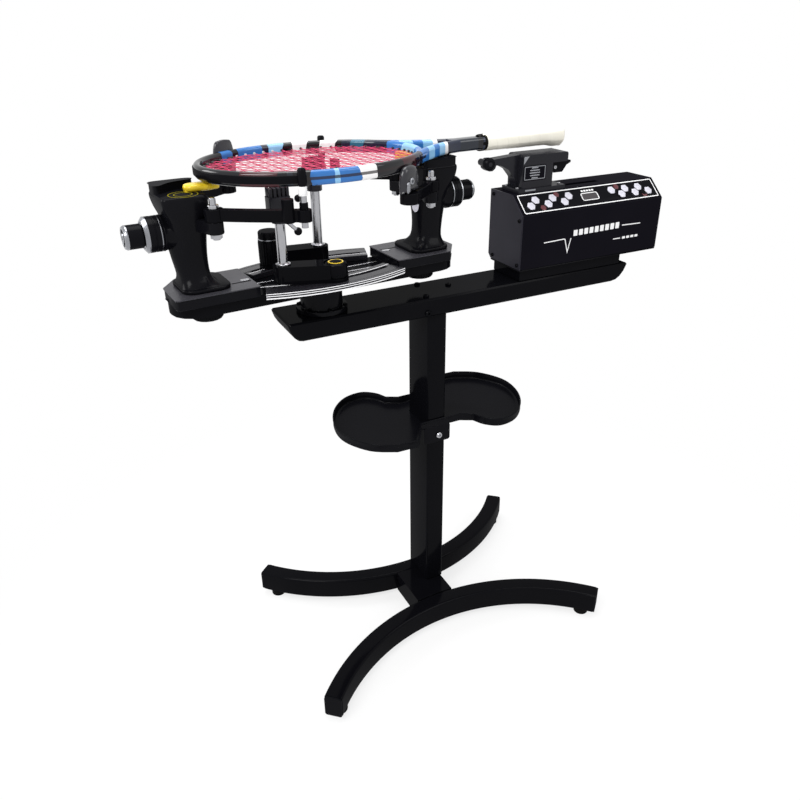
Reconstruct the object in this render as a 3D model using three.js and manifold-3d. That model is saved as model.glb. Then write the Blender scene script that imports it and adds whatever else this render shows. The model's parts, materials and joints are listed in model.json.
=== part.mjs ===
// Racket stringing machine with a racket clamped in it.
// A column on two curved feet carries a beam. On the beam turn a turntable with two towers, which hold the
// racket at six points, and two string clamps on curved rails. A control unit with a travelling tension
// head stands on the other end of the beam. Millimetres, +Z up, X along the beam towards the control unit,
// Y to the back, the floor at zero.
import * as THREE from 'three';
import { mergeVertices } from 'three/addons/utils/BufferGeometryUtils.js';
import Module from 'manifold-3d';

const wasm = await Module();
wasm.setup();

// Clearances and smoothness
const seatGap = 0.3;
const runningGap = 0.1;
const cutOverrun = 2;
const roundSteps = 8;
const smallRoundSteps = 5;
const smallRadius = 13;
const cornerSteps = 2;
const bevelSteps = 1;

// Curved feet
const footArcRadius = 403;
const footArcHalfAngle = 48.7;
const footApexOffset = 63.5;
const footTubeWidth = 34.5;
const footTubeHeight = 46;
const footTubeWall = 3;
const footTubeEdge = 4;
const footArcSteps = 8;
const rubberFootRadius = 15;
const rubberFootHeight = 13;
const rubberFootInset = 30;
const footStudRadius = 4;
const footStudReach = 16;
const crossTubeX = -7;
const crossTubeWidth = 82;
const crossTubeWall = 3;

// Column
const columnX = 17.9;
const columnY = 38.4;
const columnWidth = 39;
const columnDepth = 80;
const columnWall = 3;
const columnCorner = 5;
const columnFlangeLength = 120;
const columnFlangeDepth = 84;
const columnFlangeThickness = 6;

// Beam
const beamLeft = -265;
const beamRight = 450;
const beamTop = 705;
const beamHeight = 34;
const beamDepth = 94;
const beamWall = 4;
const beamEdge = 3;
const beamLeftSlope = 24;
const beamRightSlope = 36;

// Tool tray round the column
const trayCentreX = 31;
const trayCentreY = 56;
const trayHalfLength = 200;
const trayHalfDepth = 119;
const trayWall = 2.5;
const trayFloor = 2.5;
const trayDepth = 17.5;
const trayRim = 456;
const trayTabWidth = 58;
const trayTabDrop = 34;
const trayBridgeShares = [-0.235, 0.19];
const trayLobeShares = [
  [0.30, -0.61], [0.36, -0.82], [0.49, -0.97], [0.69, -0.90], [0.87, -0.60],
  [0.98, -0.17], [0.985, 0.27], [0.84, 0.71], [0.62, 0.94],
];
const trayCornerShares = [0.40, 0.95];

// Turntable
const turntableX = -188;
const turntableAngle = 4;
const pivotFlangeRadius = 44;
const pivotFlangeThickness = 8;
const pivotNeckRadius = 36;
const pivotHeight = 41.4;
const spindleRadius = 12;
const spindleReach = 15;
const barHalfLength = 254;
const barHalfWidth = 45;
const barThickness = 18.7;
const barCorner = 40;

// Curved clamp rails
const railReach = 95;
const railOuterRadius = 345;
const railWidth = 48;
const railHalfAngle = 21;
const railThickness = 9.4;
const railEdge = 1.5;
const railSteps = 6;
const railSlotInset = 17;
const railSlotWidth = 9.2;
const railSlotHalfAngle = 19;

// Tower carriages and their lock nuts
const carriageInner = 124;
const carriageHalfWidth = 52;
const carriageThickness = 17.2;
const carriageOuterCorner = 34;
const carriageInnerCorner = 16;
const carriageEdge = 2;
const lockNutInset = 57;
const lockNutRadius = 24;
const lockNutHeight = 17;
const lockNutEdge = 2;
const lockStudRadius = 5;
const lockStudBite = 10;
const lockSlotHalfLength = 40;

// Towers
const towerHeight = 155;
const towerHalfDepth = 40;
const towerLipSetback = 2;
const towerEdge = 5;
const towerFootHeight = 6;
const towerFootOuter = 238;
const towerFootInner = 162;
const towerFootHalfDepth = 42;
const towerFootCorner = 20;
const towerInnerReach = 183;
const towerShelfLength = 30;
const towerLipThickness = 37;
const towerShelfHeight = 142.8;
const towerKnobHeight = 88.5;
const towerOuterShares = [
  [0, 0.74], [0.20, 0.82], [0.40, 0.90], [0.56, 0.86], [0.68, 0.86], [0.86, 0.98], [0.93, 1],
];
const towerDepthShares = [[0, 0.85], [0.07, 0.62], [0.30, 0.56], [0.50, 0.66], [0.68, 0.85], [0.80, 1]];
const towerInnerShares = [[0.50, 0], [0.30, 0.04], [0.13, 0.12], [0, 0.10]];
const armLugRadius = 12;
const armLugHeight = 19;

// Racket frame
const hoopHalfLength = 185;
const hoopHalfWidth = 138;
const hoopBand = 12;
const frameHeight = 21;
const frameEdge = 3;
const hoopSteps = 18;
const throatStartAngle = 38;
const throatMouthAngle = 20;
const shaftStart = 266;
const shaftEnd = 324.5;
const shaftHalfWidth = 14;
const throatArmWidth = 13;
const stringRadius = 0.65;
const mainStrings = 16;
const crossStrings = 19;
const mainPitch = 14;
const crossPitch = 17;
const gripLength = 178.5;
const gripStartRadius = 14;
const gripRadius = 16;
const gripButtRadius = 20.5;
const gripButtLength = 42;
const gripSides = 12;

// Racket supports
const cradleBaseHeight = 12.6;
const cradleUprightThickness = 15;
const cradleHalfWidth = 15;
const cradleUprightHalfWidth = 20;
const cradleCorner = 4;
const cradleTravel = 10;
const cradleStemHalfWidth = 7;
const cradleStemLength = 12;
const cradleStemInset = 17;
const stringClearance = 0.9;
const screwRadius = 4.2;
const screwInset = 4;
const barrelRadius = 26.5;
const barrelLength = 25.7;
const barrelEdge = 2.5;
const knobRadius = 18;
const knobLength = 27;
const knobEdge = 3;

// Side arms with their finger and hook
const armPivotInset = 1;
const armPivotOffset = 57;
const armBottomHeight = 109.5;
const armHeight = 17;
const armHalfWidth = 6;
const armEyeRadius = 14;
const armPinRadius = 5;
const armPinTop = 16;
const armBow = 9;
const armSteps = 8;
const fingerReach = 75;
const fingerRadius = 5;
const fingerCollarRadius = 6.2;
const fingerCollarHeight = 14;
const fingerDrop = 9;
const fingerTop = 6;
const fingerArmEnd = 11;
const fingerBossRadius = 9;
const fingerBossHeight = 16;
const fingerBossGap = 22;
const hookReach = 102;
const hookHalfLength = 22;
const hookTopHalfLength = 15;
const hookThickness = 10;
const leftHookTop = 15;
const rightHookTop = -11;
const hookCorner = 7;
const hookArmEnd = 15;

// String clamps
const clampPostReach = 76;
const clampPostInset = 32;
const frontClampAngle = 0;
const rearClampAngle = 11.4;
const clampBaseHeight = 28;
const clampBaseRadius = 17;
const clampFootThickness = 5;
const clampFootRadius = 20;
const clampLockRadius = 19;
const frontLockHeight = 24;
const rearLockHeight = 56;
const clampLockEdge = 2;
const clampStudRadius = 4.2;
const clampStudReach = 7.6;
const clampPostRadius = 8;
const clampPostFootRadius = 12;
const clampPostFootHeight = 5;
const clampCollarRadius = 12.5;
const clampCollarHeight = 20;
const clampBlockLength = 34;
const clampBlockWidth = 24;
const clampBlockHeight = 20;
const clampBlockCorner = 4;
const clampJawHeight = 13;
const clampJawWidth = 9;
const clampJawSlot = 1.6;
const clampTeeth = 5;
const clampToothShare = 0.62;
const clampRoof = 3;
const clampTravel = 25;
const clampLeverRadius = 3;
const clampLeverLength = 32;
const clampLeverAngle = 45;
const clampLeverKnobRadius = 5.5;
const clampLeverHeight = 9;
const clampLeverLug = 6;

// Control unit
const caseLeft = 181;
const caseLength = 330;
const caseDepth = 105;
const plinthHeight = 25;
const plinthInset = 9;
const plinthLength = 240;
const plinthPlate = 3;
const caseHeight = 131;
const caseFrontHeight = 99;
const panelRun = 36;
const caseBackChamfer = 8;
const caseWall = 2.5;
const endPlateThickness = 3;
const keypadMargin = 7;
const keypadSlopeMargin = 3.5;
const keypadThickness = 1.2;
const keypadCorner = 3;
const keyRadius = 8.4;
const keyRise = 0.8;
const keyPitch = 14.6;
const keyRowOffset = 5.6;
const keysInGroup = 6;
const leftKeysStart = 35;
const rightKeysFromEnd = 112;
const displayShare = 0.494;
const displayWidth = 38;
const displayHeight = 16;
const displayThickness = 1;
const displayCorner = 4;

// Drive inside the control unit
const driveHeight = 66;
const driveScrewRadius = 5;
const motorRadius = 19;
const motorLength = 58;
const motorRightGap = 14;
const motorFootWidth = 30;
const bearingRadius = 10;
const bearingLength = 12;
const boardLength = 110;
const boardDepth = 62;
const boardThickness = 1.6;
const boardStandoff = 6;
const boardPostRadius = 4;
const boardLeft = 60;

// Inlet and switch on the back of the case
const inletFromRight = 60;
const inletRise = 42;
const inletWidth = 28;
const inletHeight = 22;
const inletDepth = 18;
const inletFlange = 3;
const inletFlangeRim = 5;
const inletPocket = 14;
const inletPocketWall = 4;
const switchFromInlet = 40;
const switchWidth = 20;
const switchHeight = 14;
const switchRise = 3;
const switchDip = 0.45;
const switchFlat = Math.PI / 3;

// Tension head
const headStart = 24;
const headFromBack = 41;
const headLength = 67;
const headDepth = 48;
const headFootLength = 104;
const headFootDepth = 54;
const headFootHeight = 7;
const headHeight = 65;
const headCapHeight = 17;
const headCapLength = 99;
const headEdge = 2;
const headTravel = 150;
const stemWidth = 16;
const stemDepth = 10;
const slotGap = 1.5;
const driveNutRadius = 12;
const driveNutLength = 24;
const neckReach = 59;
const neckThickness = 13;
const neckDepth = 20;
const neckBossRadius = 11;
const rollerRadius = 11;
const rollerLength = 13;
const rollerReach = 69;
const rollerDrop = 9;
const rollerPinRadius = 4;
const leverReach = 36;
const leverThickness = 12;
const leverPlate = 8;
const leverHeight = 20;
const leverLugHalf = 8;
const leverPinRadius = 4;
const leverTipShare = 0.4;

// Heights and places worked out from the sizes above
const footTop = rubberFootHeight + footTubeHeight;
const columnFront = columnY - columnDepth / 2;
const columnLeft = columnX - columnWidth / 2;
const beamY = columnY;
const beamInnerTop = beamTop - beamWall;
const barBottom = beamTop + pivotHeight + 2 * seatGap;
const barTop = barBottom + barThickness;
const railBottom = barTop + seatGap;
const railInnerRadius = railOuterRadius - railWidth;
const railArcOffset = railOuterRadius - railReach;
const railSlotRadius = railInnerRadius + railSlotInset;
const lockNutReach = barHalfLength - lockNutInset;
const railTop = railBottom + railThickness;
const carriageBottom = barTop + seatGap;
const carriageTop = carriageBottom + carriageThickness;
const towerBottom = carriageTop + seatGap;
const towerTop = towerBottom + towerHeight;
const knobAxis = towerBottom + towerKnobHeight;
const shelfTop = towerBottom + towerShelfHeight;
const cradleBottom = shelfTop + seatGap;
const frameBottom = cradleBottom + cradleBaseHeight + seatGap;
const frameMiddle = frameBottom + frameHeight / 2;
const frameTop = frameBottom + frameHeight;
const hoopInnerLength = hoopHalfLength - hoopBand;
const hoopInnerWidth = hoopHalfWidth - hoopBand;
const towerLipReach = towerInnerReach + towerShelfLength;
const towerOuterReach = towerLipReach + towerLipThickness;
const cradleOuter = towerLipReach - seatGap;
const cradleStemCentre = towerInnerReach + cradleStemInset;
const screwEnd = towerInnerReach + screwInset;
const armPivotReach = towerInnerReach + armPivotInset;
const barrelStart = towerOuterReach + seatGap;
const knobStart = barrelStart + barrelLength + seatGap;
const knobEnd = knobStart + knobLength;
const armBottom = towerBottom + armBottomHeight;
const armTop = armBottom + armHeight;
const clampBottom = railTop + seatGap;
const clampTop = clampBottom + clampBaseHeight;
const clampHeadHeight = clampCollarHeight + clampBlockHeight + clampJawHeight;
const clampRaised = frameMiddle - stringRadius - stringClearance - clampHeadHeight;
const clampBore = clampCollarHeight + clampBlockHeight - clampRoof;
const clampPostTop = clampRaised - clampTravel + clampBore - seatGap;
const caseRight = caseLeft + caseLength;
const rightKeysStart = caseLength - rightKeysFromEnd;
const displayCentre = caseLength * displayShare;
const caseFront = beamY - caseDepth / 2;
const caseBack = caseFront + caseDepth;
const caseBottom = beamTop + plinthHeight;
const caseTop = caseBottom + caseHeight;
const panelBottom = caseBottom + caseFrontHeight;
const panelLength = Math.hypot(panelRun, caseTop - panelBottom);
const panelAngle = Math.atan2(caseTop - panelBottom, panelRun);
const driveAxis = caseBottom + driveHeight;
const headLeft = caseLeft + headStart;
const headMiddle = headLeft + headLength / 2;
const headY = caseBack - headFromBack;
const headBottom = caseTop + seatGap;
const headTop = headBottom + headHeight;
const turnedBy = THREE.MathUtils.degToRad(turntableAngle);
const leftmost = turntableX - knobEnd * Math.cos(turnedBy) - (knobRadius - knobEdge) * Math.sin(turnedBy);
const overallMiddle = (leftmost + caseRight) / 2;

// Finishes
const blackPaint = { color: 0x141518, roughness: 0.25, metalness: 0.3 };
const blackCasting = { color: 0x1a1b20, roughness: 0.35, metalness: 0.3 };
const greyPaint = { color: 0x7d7e85, roughness: 0.4, metalness: 0.4 };
const darkGrey = { color: 0x34353b, roughness: 0.5, metalness: 0.2 };
const blackPlastic = { color: 0x1c1d21, roughness: 0.45, metalness: 0 };
const steel = { color: 0xc9cbd0, roughness: 0.2, metalness: 1 };
const yellowPlastic = { color: 0xe6cf55, roughness: 0.4, metalness: 0 };
const rubberBlack = { color: 0x101010, roughness: 0.9, metalness: 0 };
const racketPaint = { color: 0x1d2a44, roughness: 0.3, metalness: 0.1 };
const stringRed = { color: 0xb3124a, roughness: 0.4, metalness: 0 };
const gripWhite = { color: 0xf1efe6, roughness: 0.8, metalness: 0 };
const boardGreen = { color: 0x1f6b3a, roughness: 0.6, metalness: 0 };
const glassDark = { color: 0x3a3434, roughness: 0.2, metalness: 0 };

// Solids
function toSolid(geometry) {
  const bare = geometry.clone();
  bare.deleteAttribute('normal');
  bare.deleteAttribute('uv');
  const merged = mergeVertices(bare);
  const corners = [];
  for (let i = 0; i < merged.index.count; i += 3) {
    const face = [0, 1, 2].map((k) => merged.index.getX(i + k));
    if (new Set(face).size === 3) corners.push(...face);
  }
  return new wasm.Manifold(new wasm.Mesh({
    numProp: 3,
    vertProperties: new Float32Array(merged.attributes.position.array),
    triVerts: new Uint32Array(corners),
  }));
}

function toGeometry(solid) {
  const mesh = solid.getMesh();
  const geometry = new THREE.BufferGeometry();
  geometry.setAttribute('position', new THREE.BufferAttribute(mesh.vertProperties, 3));
  geometry.setIndex(new THREE.BufferAttribute(mesh.triVerts, 1));
  geometry.computeVertexNormals();
  return geometry;
}

function join(...solids) {
  return solids.reduce((whole, solid) => whole.add(solid));
}

function cut(whole, ...cutters) {
  return cutters.reduce((rest, cutter) => rest.subtract(cutter), whole);
}

// Turns an outline drawn in x,y into one drawn in y,z.
const acrossX = new THREE.Matrix4().set(0, 0, 1, 0, 1, 0, 0, 0, 0, 1, 0, 0, 0, 0, 0, 1);

// An outline pushed along an axis. Outlines are drawn in y,z for x, in x,z for y and in x,y for z.
function slab(axis, outline, start, length, edge = 0, steps = roundSteps) {
  const geometry = new THREE.ExtrudeGeometry(outline, {
    depth: length - 2 * edge,
    curveSegments: steps,
    bevelEnabled: edge > 0,
    bevelThickness: edge,
    bevelSize: edge,
    bevelOffset: -edge,
    bevelSegments: bevelSteps,
  });
  geometry.translate(0, 0, edge);
  const turned = {
    x: () => geometry.applyMatrix4(acrossX).translate(start, 0, 0),
    y: () => geometry.rotateX(Math.PI / 2).translate(0, start + length, 0),
    z: () => geometry.translate(0, 0, start),
  };
  return toSolid(turned[axis]());
}

function circle(radius, across = 0, up = 0) {
  return new THREE.Shape().absarc(across, up, radius, 0, 2 * Math.PI, false);
}

function rod(axis, radius, start, length, across = 0, up = 0, edge = 0) {
  const steps = radius > smallRadius ? roundSteps : smallRoundSteps;
  return slab(axis, circle(radius, across, up), start, length, edge, steps);
}

// A hole whose flats clear a turning shaft.
function bore(axis, shaft, start, length, across, up) {
  const steps = shaft + runningGap > smallRadius ? roundSteps : smallRoundSteps;
  const radius = (shaft + runningGap) / Math.cos(Math.PI / (2 * steps));
  return slab(axis, circle(radius, across, up), start, length, 0, steps);
}

function polygon(points) {
  return new THREE.Shape(points.map(([a, b]) => new THREE.Vector2(a, b)));
}

function roundedRect(left, right, low, high, corner) {
  const shape = new THREE.Shape();
  shape.absarc(right - corner, low + corner, corner, -Math.PI / 2, 0, false);
  shape.absarc(right - corner, high - corner, corner, 0, Math.PI / 2, false);
  shape.absarc(left + corner, high - corner, corner, Math.PI / 2, Math.PI, false);
  shape.absarc(left + corner, low + corner, corner, Math.PI, 1.5 * Math.PI, false);
  return shape;
}

function box(left, right, front, back, low, high) {
  const geometry = new THREE.BoxGeometry(right - left, back - front, high - low);
  geometry.translate((left + right) / 2, (front + back) / 2, (low + high) / 2);
  return toSolid(geometry);
}

// Two circles joined by their outer tangents.
function link(from, fromRadius, to, toRadius) {
  const along = Math.atan2(to[1] - from[1], to[0] - from[0]);
  const lean = Math.acos((fromRadius - toRadius) / Math.hypot(to[0] - from[0], to[1] - from[1]));
  const shape = new THREE.Shape();
  shape.absarc(from[0], from[1], fromRadius, along + lean, along - lean + 2 * Math.PI, false);
  shape.absarc(to[0], to[1], toRadius, along - lean, along + lean, false);
  return shape;
}

// A closed loop of points moved inwards by a distance.
function insetLoop(points, distance) {
  const count = points.length;
  return points.map((point, i) => {
    const before = points[(i + count - 1) % count];
    const after = points[(i + 1) % count];
    const first = [point[0] - before[0], point[1] - before[1]];
    const second = [after[0] - point[0], after[1] - point[1]];
    const n1 = [-first[1] / Math.hypot(...first), first[0] / Math.hypot(...first)];
    const n2 = [-second[1] / Math.hypot(...second), second[0] / Math.hypot(...second)];
    const spread = 1 + n1[0] * n2[0] + n1[1] * n2[1];
    return [point[0] + distance * (n1[0] + n2[0]) / spread, point[1] + distance * (n1[1] + n2[1]) / spread];
  });
}

function arcBand(inner, outer, halfAngle, centreY, turn) {
  const shape = new THREE.Shape();
  shape.absarc(0, centreY, outer, turn - halfAngle, turn + halfAngle, false);
  shape.absarc(0, centreY, inner, turn + halfAngle, turn - halfAngle, true);
  return shape;
}

function piece(parent, name, solid, finish) {
  const mesh = new THREE.Mesh(toGeometry(solid), new THREE.MeshStandardMaterial(finish));
  mesh.name = name;
  parent.add(mesh);
  return mesh;
}

// Base: two curved tubes back to back, a cross tube and four rubber feet
function footBand(grow, shorten) {
  const half = footTubeWidth / 2 + grow;
  const halfAngle = THREE.MathUtils.degToRad(footArcHalfAngle) - shorten / footArcRadius;
  const centre = -(footArcRadius + footApexOffset);
  return arcBand(footArcRadius - half, footArcRadius + half, halfAngle, centre, Math.PI / 2);
}

function rubberFootPlaces() {
  const angle = THREE.MathUtils.degToRad(footArcHalfAngle) - rubberFootInset / footArcRadius;
  const y = footArcRadius * Math.cos(angle) - footArcRadius - footApexOffset;
  const x = footArcRadius * Math.sin(angle);
  return [[-x, y], [x, y]];
}

function footArc() {
  const low = rubberFootHeight;
  const outside = slab('z', footBand(0, 0), low, footTubeHeight, footTubeEdge, footArcSteps);
  const hollow = slab('z', footBand(-footTubeWall, footTubeWall), low + footTubeWall,
    footTubeHeight - 2 * footTubeWall, 0, footArcSteps);
  const holes = rubberFootPlaces().map(([x, y]) =>
    rod('z', footStudRadius + seatGap, low - cutOverrun, footTubeWall + 2 * cutOverrun, x, y));
  return cut(outside, hollow, ...holes);
}

function crossTube() {
  const left = crossTubeX - crossTubeWidth / 2;
  const right = crossTubeX + crossTubeWidth / 2;
  const low = rubberFootHeight;
  const tube = cut(
    box(left, right, -footApexOffset, footApexOffset, low, footTop),
    box(left + crossTubeWall, right - crossTubeWall, -footApexOffset - cutOverrun,
      footApexOffset + cutOverrun, low + crossTubeWall, footTop - crossTubeWall),
  );
  const frontFoot = slab('z', footBand(seatGap, 0), low - cutOverrun, footTubeHeight + 2 * cutOverrun,
    0, footArcSteps);
  return cut(tube, frontFoot, frontFoot.rotate([0, 0, 180]));
}

function rubberFoot(x, y) {
  const padHeight = rubberFootHeight - seatGap;
  return join(rod('z', rubberFootRadius, 0, padHeight, x, y),
    rod('z', footStudRadius, padHeight - cutOverrun, footStudReach + cutOverrun, x, y));
}

function addBase(parent) {
  piece(parent, 'front_foot', footArc(), blackPaint);
  piece(parent, 'rear_foot', footArc().rotate([0, 0, 180]), blackPaint);
  piece(parent, 'cross_tube', crossTube(), blackPaint);
  for (const [x, y] of rubberFootPlaces()) {
    const side = x < 0 ? 'left' : 'right';
    piece(parent, `front_${side}_rubber_foot`, rubberFoot(x, y), rubberBlack);
    piece(parent, `rear_${side}_rubber_foot`, rubberFoot(x, -y), rubberBlack);
  }
}

// Column with the flange that carries the beam
function column() {
  const halfWidth = columnWidth / 2;
  const halfDepth = columnDepth / 2;
  const low = footTop + seatGap;
  const top = beamInnerTop - seatGap;
  const outline = (inset) => roundedRect(columnX - halfWidth + inset, columnX + halfWidth - inset,
    columnY - halfDepth + inset, columnY + halfDepth - inset, columnCorner - inset / 2);
  const tube = slab('z', outline(0), low, top - low, 0, cornerSteps);
  const flange = box(columnX - columnFlangeLength / 2, columnX + columnFlangeLength / 2,
    columnY - columnFlangeDepth / 2, columnY + columnFlangeDepth / 2, top - columnFlangeThickness, top);
  const hollow = slab('z', outline(columnWall), low - cutOverrun,
    top - columnFlangeThickness - low + cutOverrun, 0, cornerSteps);
  return cut(join(tube, flange), hollow);
}

// Beam: an inverted channel with sloping ends
function beamOutline(inset, low) {
  const left = beamLeft + inset;
  const right = beamRight - inset;
  const top = beamTop - inset;
  const shape = new THREE.Shape();
  shape.moveTo(left + beamLeftSlope, low);
  shape.lineTo(right - beamRightSlope, low);
  shape.quadraticCurveTo(right - beamRightSlope / 3, low, right, top - beamEdge);
  shape.lineTo(right - beamEdge, top);
  shape.lineTo(left + beamEdge, top);
  shape.lineTo(left, top - beamEdge);
  shape.quadraticCurveTo(left + beamLeftSlope / 3, low, left + beamLeftSlope, low);
  return shape;
}

function beam() {
  const front = beamY - beamDepth / 2;
  const low = beamTop - beamHeight;
  const outside = slab('y', beamOutline(0, low), front, beamDepth, beamEdge, cornerSteps * 2);
  const hollow = slab('y', beamOutline(beamWall, low - cutOverrun), front + beamWall,
    beamDepth - 2 * beamWall, 0, cornerSteps * 2);
  return cut(outside, hollow);
}

// Tool tray: two lobes round the column, with a tab bolted to the column's front
function trayLoop() {
  const bridge = trayCentreY - columnFront + seatGap + trayWall;
  const half = [
    [trayBridgeShares[0] * trayHalfLength, -bridge],
    [trayBridgeShares[1] * trayHalfLength, -bridge],
    ...trayLobeShares.map(([a, b]) => [a * trayHalfLength, b * trayHalfDepth]),
    [trayCornerShares[0] * trayHalfLength, trayCornerShares[1] * trayHalfDepth],
  ];
  const curve = new THREE.SplineCurve(half.slice(1, -1).map(([a, b]) => new THREE.Vector2(a, b)));
  const lobe = curve.getPoints(cornerSteps * trayLobeShares.length).map((point) => [point.x, point.y]);
  const part = [half[0], ...lobe, half[half.length - 1]];
  const whole = [...part, ...part.map(([a, b]) => [-a, -b])];
  return whole.map(([a, b]) => [a + trayCentreX, b + trayCentreY]);
}

function toolTray() {
  const loop = trayLoop();
  const low = trayRim - trayDepth;
  const columnHalf = columnWidth / 2 + seatGap;
  const columnSpace = box(columnX - columnHalf, columnX + columnHalf, columnFront - seatGap,
    columnFront + columnDepth + seatGap, low - cutOverrun, trayRim + cutOverrun);
  const dish = cut(slab('z', polygon(loop), low, trayDepth),
    slab('z', polygon(insetLoop(loop, trayWall)), low + trayFloor, trayDepth), columnSpace);
  const tab = box(columnX - trayTabWidth / 2, columnX + trayTabWidth / 2,
    columnFront - seatGap - trayWall, columnFront - seatGap, low - trayTabDrop, low + trayFloor);
  return join(dish, tab);
}

// Housing of the turntable's pivot, with the spindle
function pivotHousing() {
  const low = beamTop + seatGap;
  return join(rod('z', pivotFlangeRadius, low, pivotFlangeThickness),
    rod('z', pivotNeckRadius, low, pivotHeight),
    rod('z', spindleRadius, low, pivotHeight + spindleReach));
}

// Turntable bar with its spindle hole and a slot for each tower's lock nut
function turntableBar() {
  const outline = roundedRect(-barHalfLength, barHalfLength, -barHalfWidth, barHalfWidth, barCorner);
  const slotHalf = lockStudRadius + seatGap;
  const slot = (side) => slab('z', roundedRect(side * lockNutReach - lockSlotHalfLength,
    side * lockNutReach + lockSlotHalfLength, -slotHalf, slotHalf, slotHalf),
  barBottom - cutOverrun, barThickness + 2 * cutOverrun, 0, cornerSteps);
  return cut(slab('z', outline, barBottom, barThickness, 0, cornerSteps), slot(-1), slot(1),
    bore('z', spindleRadius, barBottom - cutOverrun, barThickness + 2 * cutOverrun, 0, 0));
}

// Curved rail with the slot that a clamp travels along
function clampRail() {
  const half = THREE.MathUtils.degToRad(railHalfAngle);
  const slotHalf = THREE.MathUtils.degToRad(railSlotHalfAngle);
  const turn = -Math.PI / 2;
  const band = slab('z', arcBand(railInnerRadius, railOuterRadius, half, railArcOffset, turn),
    railBottom, railThickness, railEdge, railSteps);
  const slot = slab('z', arcBand(railSlotRadius - railSlotWidth / 2, railSlotRadius + railSlotWidth / 2,
    slotHalf, railArcOffset, turn), railBottom - cutOverrun, railThickness + 2 * cutOverrun, 0, railSteps);
  return cut(band, slot);
}

// Tower carriage and the nut that locks it from below
function carriage() {
  const outline = new THREE.Shape();
  const half = carriageHalfWidth;
  outline.absarc(-carriageInner - carriageInnerCorner, -half + carriageInnerCorner, carriageInnerCorner,
    -Math.PI / 2, 0, false);
  outline.absarc(-carriageInner - carriageInnerCorner, half - carriageInnerCorner, carriageInnerCorner,
    0, Math.PI / 2, false);
  outline.absarc(-barHalfLength + carriageOuterCorner, half - carriageOuterCorner, carriageOuterCorner,
    Math.PI / 2, Math.PI, false);
  outline.absarc(-barHalfLength + carriageOuterCorner, -half + carriageOuterCorner, carriageOuterCorner,
    Math.PI, 1.5 * Math.PI, false);
  return cut(slab('z', outline, carriageBottom, carriageThickness, carriageEdge, cornerSteps),
    rod('z', lockStudRadius + seatGap, carriageBottom - cutOverrun, lockStudBite + cutOverrun + seatGap,
      -lockNutReach));
}

function lockNut() {
  const top = barBottom - seatGap;
  return join(rod('z', lockNutRadius, top - lockNutHeight, lockNutHeight, -lockNutReach, 0, lockNutEdge),
    rod('z', lockStudRadius, top - lockNutEdge, barThickness + 2 * seatGap + lockNutEdge + lockStudBite,
      -lockNutReach));
}

// Tower casting: a waisted neck with a shelf for the racket support and lugs for the side arms
function towerOutline() {
  const at = ([up, out]) => [-towerInnerReach - out * (towerOuterReach - towerInnerReach),
    towerBottom + up * towerHeight];
  return polygon([
    ...towerOuterShares.map(at), [-towerOuterReach + 2 * towerEdge, towerTop], [-towerLipReach, towerTop],
    [-towerLipReach, shelfTop], [-towerInnerReach, shelfTop], ...towerInnerShares.map(at),
  ]);
}

// The tower's outline across the turntable, narrow at the waist
function towerDepthOutline() {
  const at = (side) => ([up, out]) => [side * out * towerHalfDepth, towerBottom + up * towerHeight];
  const head = [1, towerDepthShares[towerDepthShares.length - 1][1]];
  const half = [...towerDepthShares, head];
  return polygon([...half.map(at(1)), ...half.map(at(-1)).reverse()]);
}

function tower() {
  const block = slab('y', towerOutline(), -towerHalfDepth, 2 * towerHalfDepth, towerEdge, cornerSteps);
  const lipGap = box(-towerOuterReach - cutOverrun, -towerLipReach, -towerHalfDepth - cutOverrun,
    -towerLipSetback, shelfTop, towerTop + cutOverrun);
  const body = cut(block.intersect(slab('x', towerDepthOutline(), -towerOuterReach - cutOverrun,
    towerOuterReach - towerInnerReach + 2 * cutOverrun)), lipGap);
  const foot = slab('z', roundedRect(-towerFootOuter, -towerFootInner, -towerFootHalfDepth,
    towerFootHalfDepth, towerFootCorner), towerBottom, towerFootHeight, 0, cornerSteps);
  const boss = rod('x', barrelRadius, -towerOuterReach, towerOuterReach - towerLipReach, 0, knobAxis);
  const lugLow = armBottom - seatGap - armLugHeight;
  const lugs = [-1, 1].map((side) => slab('z',
    link([-armPivotReach, side * armPivotOffset], armLugRadius,
      [-armPivotReach - armLugRadius, side * (armPivotOffset / 2 - armLugRadius / 2)], armLugRadius),
    lugLow, armLugHeight));
  const pins = [-1, 1].map((side) => rod('z', armPinRadius, lugLow - fingerDrop,
    armLugHeight + fingerDrop + seatGap + armHeight + armPinTop, -armPivotReach, side * armPivotOffset));
  const slotInner = cradleStemCentre - cradleStemLength / 2 - cradleTravel - seatGap * 4;
  const slotOuter = cradleStemCentre + cradleStemLength / 2 + seatGap * 4;
  const stemHalf = cradleStemHalfWidth + seatGap;
  const slot = box(-slotOuter, -slotInner, -stemHalf, stemHalf, knobAxis - 2 * screwRadius - seatGap,
    towerTop + cutOverrun);
  const screwHole = bore('x', screwRadius, -towerOuterReach - cutOverrun,
    towerOuterReach + cutOverrun - screwEnd + 2 * seatGap, 0, knobAxis);
  return cut(join(body, foot, boss, ...lugs, ...pins), slot, screwHole);
}

// Knobs on the tower's outer end: the barrel works both side arms, the small knob works the support
function barrel() {
  const ring = rod('x', barrelRadius, -barrelStart - barrelLength, barrelLength, 0, knobAxis, barrelEdge);
  return cut(ring, bore('x', screwRadius, -barrelStart - barrelLength - cutOverrun,
    barrelLength + 2 * cutOverrun, 0, knobAxis));
}

function supportKnob() {
  return join(rod('x', knobRadius, -knobEnd, knobLength, 0, knobAxis, knobEdge),
    rod('x', screwRadius, -knobEnd + knobEdge, knobEnd - knobEdge - screwEnd, 0, knobAxis));
}

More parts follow.
